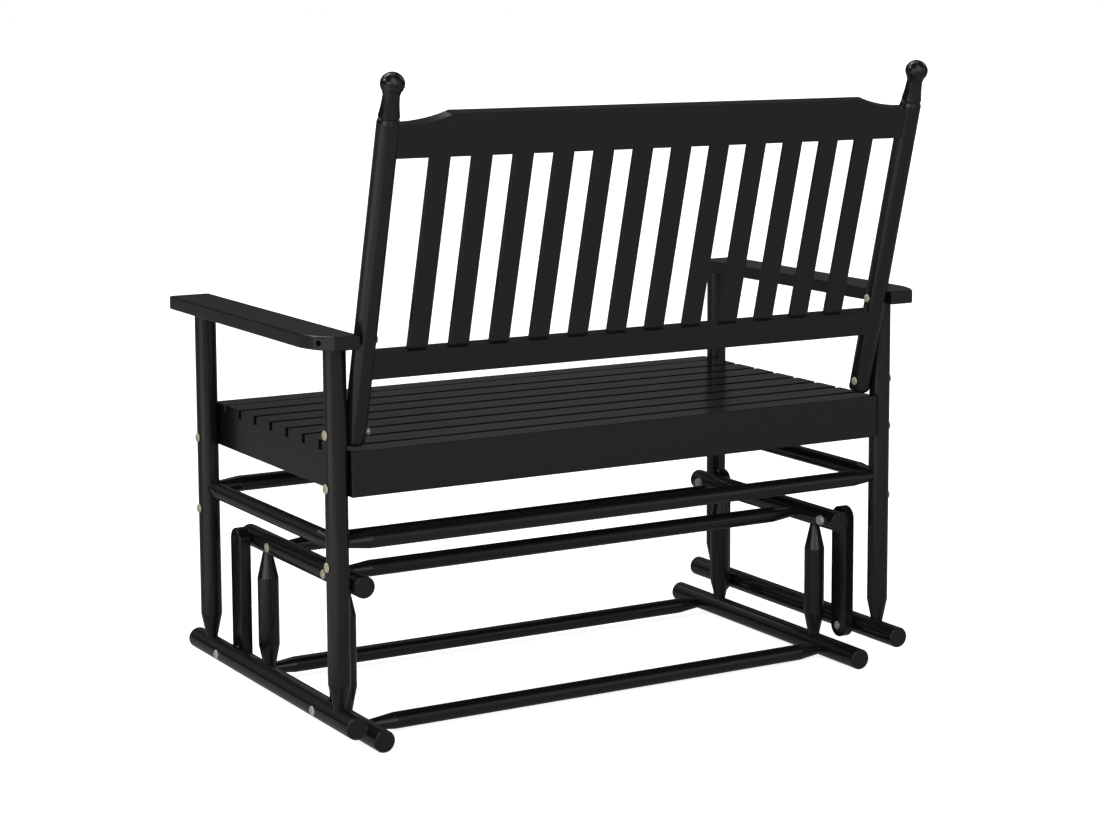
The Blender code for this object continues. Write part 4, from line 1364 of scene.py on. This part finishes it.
@dataclass
class Studio:
    """A pale floor, soft lights and the camera at the photograph's viewing angle.

    The floor gives the bench less light than it shows the camera. To the bench it is a darker grey, which
    is painted shade, with a painted pool of light that glows more on the glow's azimuth than on the far
    side.
    """

    floor_colour: str = "#FAFAF8"
    floor_roughness: float = 0.95
    floor_half: float = 60.0
    floor_drop: float = 0.0005
    floor_glow: float = 0.85
    # Painted shade and a painted pool of light: the floor's grey and its glow, as the bench sees them.
    painted_shade_floor_colour: str = "#5E5E5E"
    painted_glow_far: float = 0.095
    painted_glow_near: float = 0.265
    painted_glow_azimuth: float = 56.0
    painted_glow_reach: float = 1.6
    camera_place: Point = (2.1004, 3.7207, 1.1824)
    camera_yaw: float = 148.30
    camera_pitch: float = 82.67
    camera_far: float = 200.0
    sensor: float = 36.0
    lens: float = 83.65
    shift_x: float = -0.0877
    shift_y: float = -0.10
    lamps: tuple[Lamp, ...] = (
        Lamp("side_softbox", (2.4, 0.3, 0.3), (0.0, 0.3, 0.3), (1.5, 0.6), 1.4),
        Lamp("floor_strip", (2.0, 0.6, 0.002), (2.0, 0.6, 1.0), (2.1, 2.1), 4.6),
    )
    glows: tuple[Glow, ...] = (
        Glow(22.5, 6.0, 24.0, 1.7),
        Glow(45.0, 6.0, 24.0, 0.93),
        Glow(90.0, 6.0, 24.0, 1.3),
        Glow(135.0, 6.0, 24.0, 0.5),
        Glow(225.0, 6.0, 24.0, 0.042),
        Glow(247.5, 6.0, 24.0, 0.026),
        Glow(64.3, 27.0, 24.0, 1.27),
        Glow(90.0, 27.0, 24.0, 0.70),
        Glow(115.7, 27.0, 24.0, 0.4),
        Glow(244.3, 27.0, 24.0, 0.10),
        Glow(295.7, 27.0, 24.0, 0.16),
        Glow(72.0, 50.0, 26.0, 0.9),
        Glow(288.0, 52.0, 18.0, 4.0),
        Glow(262.0, 50.0, 9.0, 1.5),
        Glow(334.0, 31.0, 9.0, 9.0),
        Glow(322.0, 34.0, 20.0, 0.7),
        Glow(190.0, 30.0, 24.0, 0.8),
        Glow(250.0, 68.0, 26.0, 0.9),
    )

    def build(self) -> None:
        """Build the floor, the world, the lamps and the camera."""
        bpy.context.scene.view_settings.view_transform = "Standard"
        self.lay_floor()
        self.light_world()
        for lamp in self.lamps:
            lamp.hang()
        self.set_camera()

    def set_camera(self) -> None:
        """Set the camera where the photograph was taken."""
        camera = bpy.data.cameras.new("camera")
        camera.sensor_width = self.sensor
        camera.lens = self.lens
        camera.shift_x = self.shift_x
        camera.shift_y = self.shift_y
        camera.clip_end = self.camera_far
        eye = add_object("camera", camera)
        eye.location = self.camera_place
        eye.rotation_euler = (math.radians(self.camera_pitch), 0.0, math.radians(self.camera_yaw))
        bpy.context.scene.camera = eye

    def lay_floor(self) -> None:
        """Lay a wide pale floor under the bench, with painted shade and a painted glow towards the bench.
        """
        mesh = face_mesh(rectangle(2 * self.floor_half, 2 * self.floor_half))
        floor = add_object("floor", mesh)
        floor.location.z = -self.floor_drop
        material, tree, shader = start_finish("matt_white_floor_paint")
        # Painted light: rays other than the camera's see the floor as a darker grey, which is painted
        # shade, glowing more on one side of the bench, which is a painted pool of light.
        seen = add_node(tree, "ShaderNodeLightPath").outputs["Is Camera Ray"]
        where = add_node(tree, "ShaderNodeTexCoord").outputs["Object"]
        near = Glow(self.painted_glow_azimuth, 0.0, 0.0, 0.0).direction()
        side = add_node(tree, "ShaderNodeVectorMath", {0: where, 1: near}, operation="DOT_PRODUCT")
        painted_pool = add_node(tree, "ShaderNodeMapRange", {
            "Value": side.outputs["Value"], "From Min": -self.painted_glow_reach,
            "From Max": self.painted_glow_reach, "To Min": self.painted_glow_far, "To Max": self.painted_glow_near})
        lit = add_node(tree, "ShaderNodeMapRange",
                       {"Value": seen, "To Min": painted_pool, "To Max": self.floor_glow})
        feed(tree, shader, {
            "Base Color": blend(tree, self.painted_shade_floor_colour, self.floor_colour, seen),
            "Emission Color": WHITE, "Emission Strength": lit,
            "Roughness": self.floor_roughness, "Specular IOR Level": 0.0})
        mesh.materials.append(material)

    def light_world(self) -> None:
        """Make the room: dim, with a few soft bright patches, and white to the camera."""
        world = bpy.data.worlds.new("studio")
        bpy.context.scene.world = world
        world.use_nodes = True
        tree = world.node_tree
        add = partial(add_node, tree)
        white = tree.nodes["Background"]
        feed(tree, white, {"Color": WHITE})
        way = add("ShaderNodeTexCoord").outputs["Generated"]
        level: Node | None = None
        for glow in self.glows:
            facing = add("ShaderNodeVectorMath", {0: way, 1: glow.direction()},
                         operation="DOT_PRODUCT")
            lobe = add("ShaderNodeMapRange", {
                "Value": facing.outputs["Value"], "To Max": glow.level,
                "From Min": math.cos(math.radians(glow.spread))}, interpolation_type="SMOOTHSTEP")
            level = add("ShaderNodeMath", {0: lobe, 1: level}, operation="ADD") if level else lobe
        room = add("ShaderNodeBackground", {"Color": WHITE, "Strength": level})
        seen = add("ShaderNodeLightPath").outputs["Is Camera Ray"]
        mix = add("ShaderNodeMixShader", {0: seen, 1: room, 2: white})
        feed(tree, tree.nodes["World Output"], {"Surface": mix})


def main() -> None:
    """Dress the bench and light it."""
    logging.basicConfig(level=logging.INFO, format="%(name)s %(message)s")
    Studio().build()
    shop = Workshop(lathe_tree(), board_tree(), fastener_tree(), PaintedPoplar().material(),
                    *(PlatedSteel(plating).material() for plating in Plating))
    dowels = Dowels(shop)
    back = Backrest(shop, dowels)
    GliderBase(dowels).build()
    SwingLinks(shop).build()
    SeatFrame(dowels).build()
    SeatPanel(shop).build()
    Armrests(shop).build()
    back.build()
    Hardware(shop, back).build()


if __name__ == "__main__":
    main()
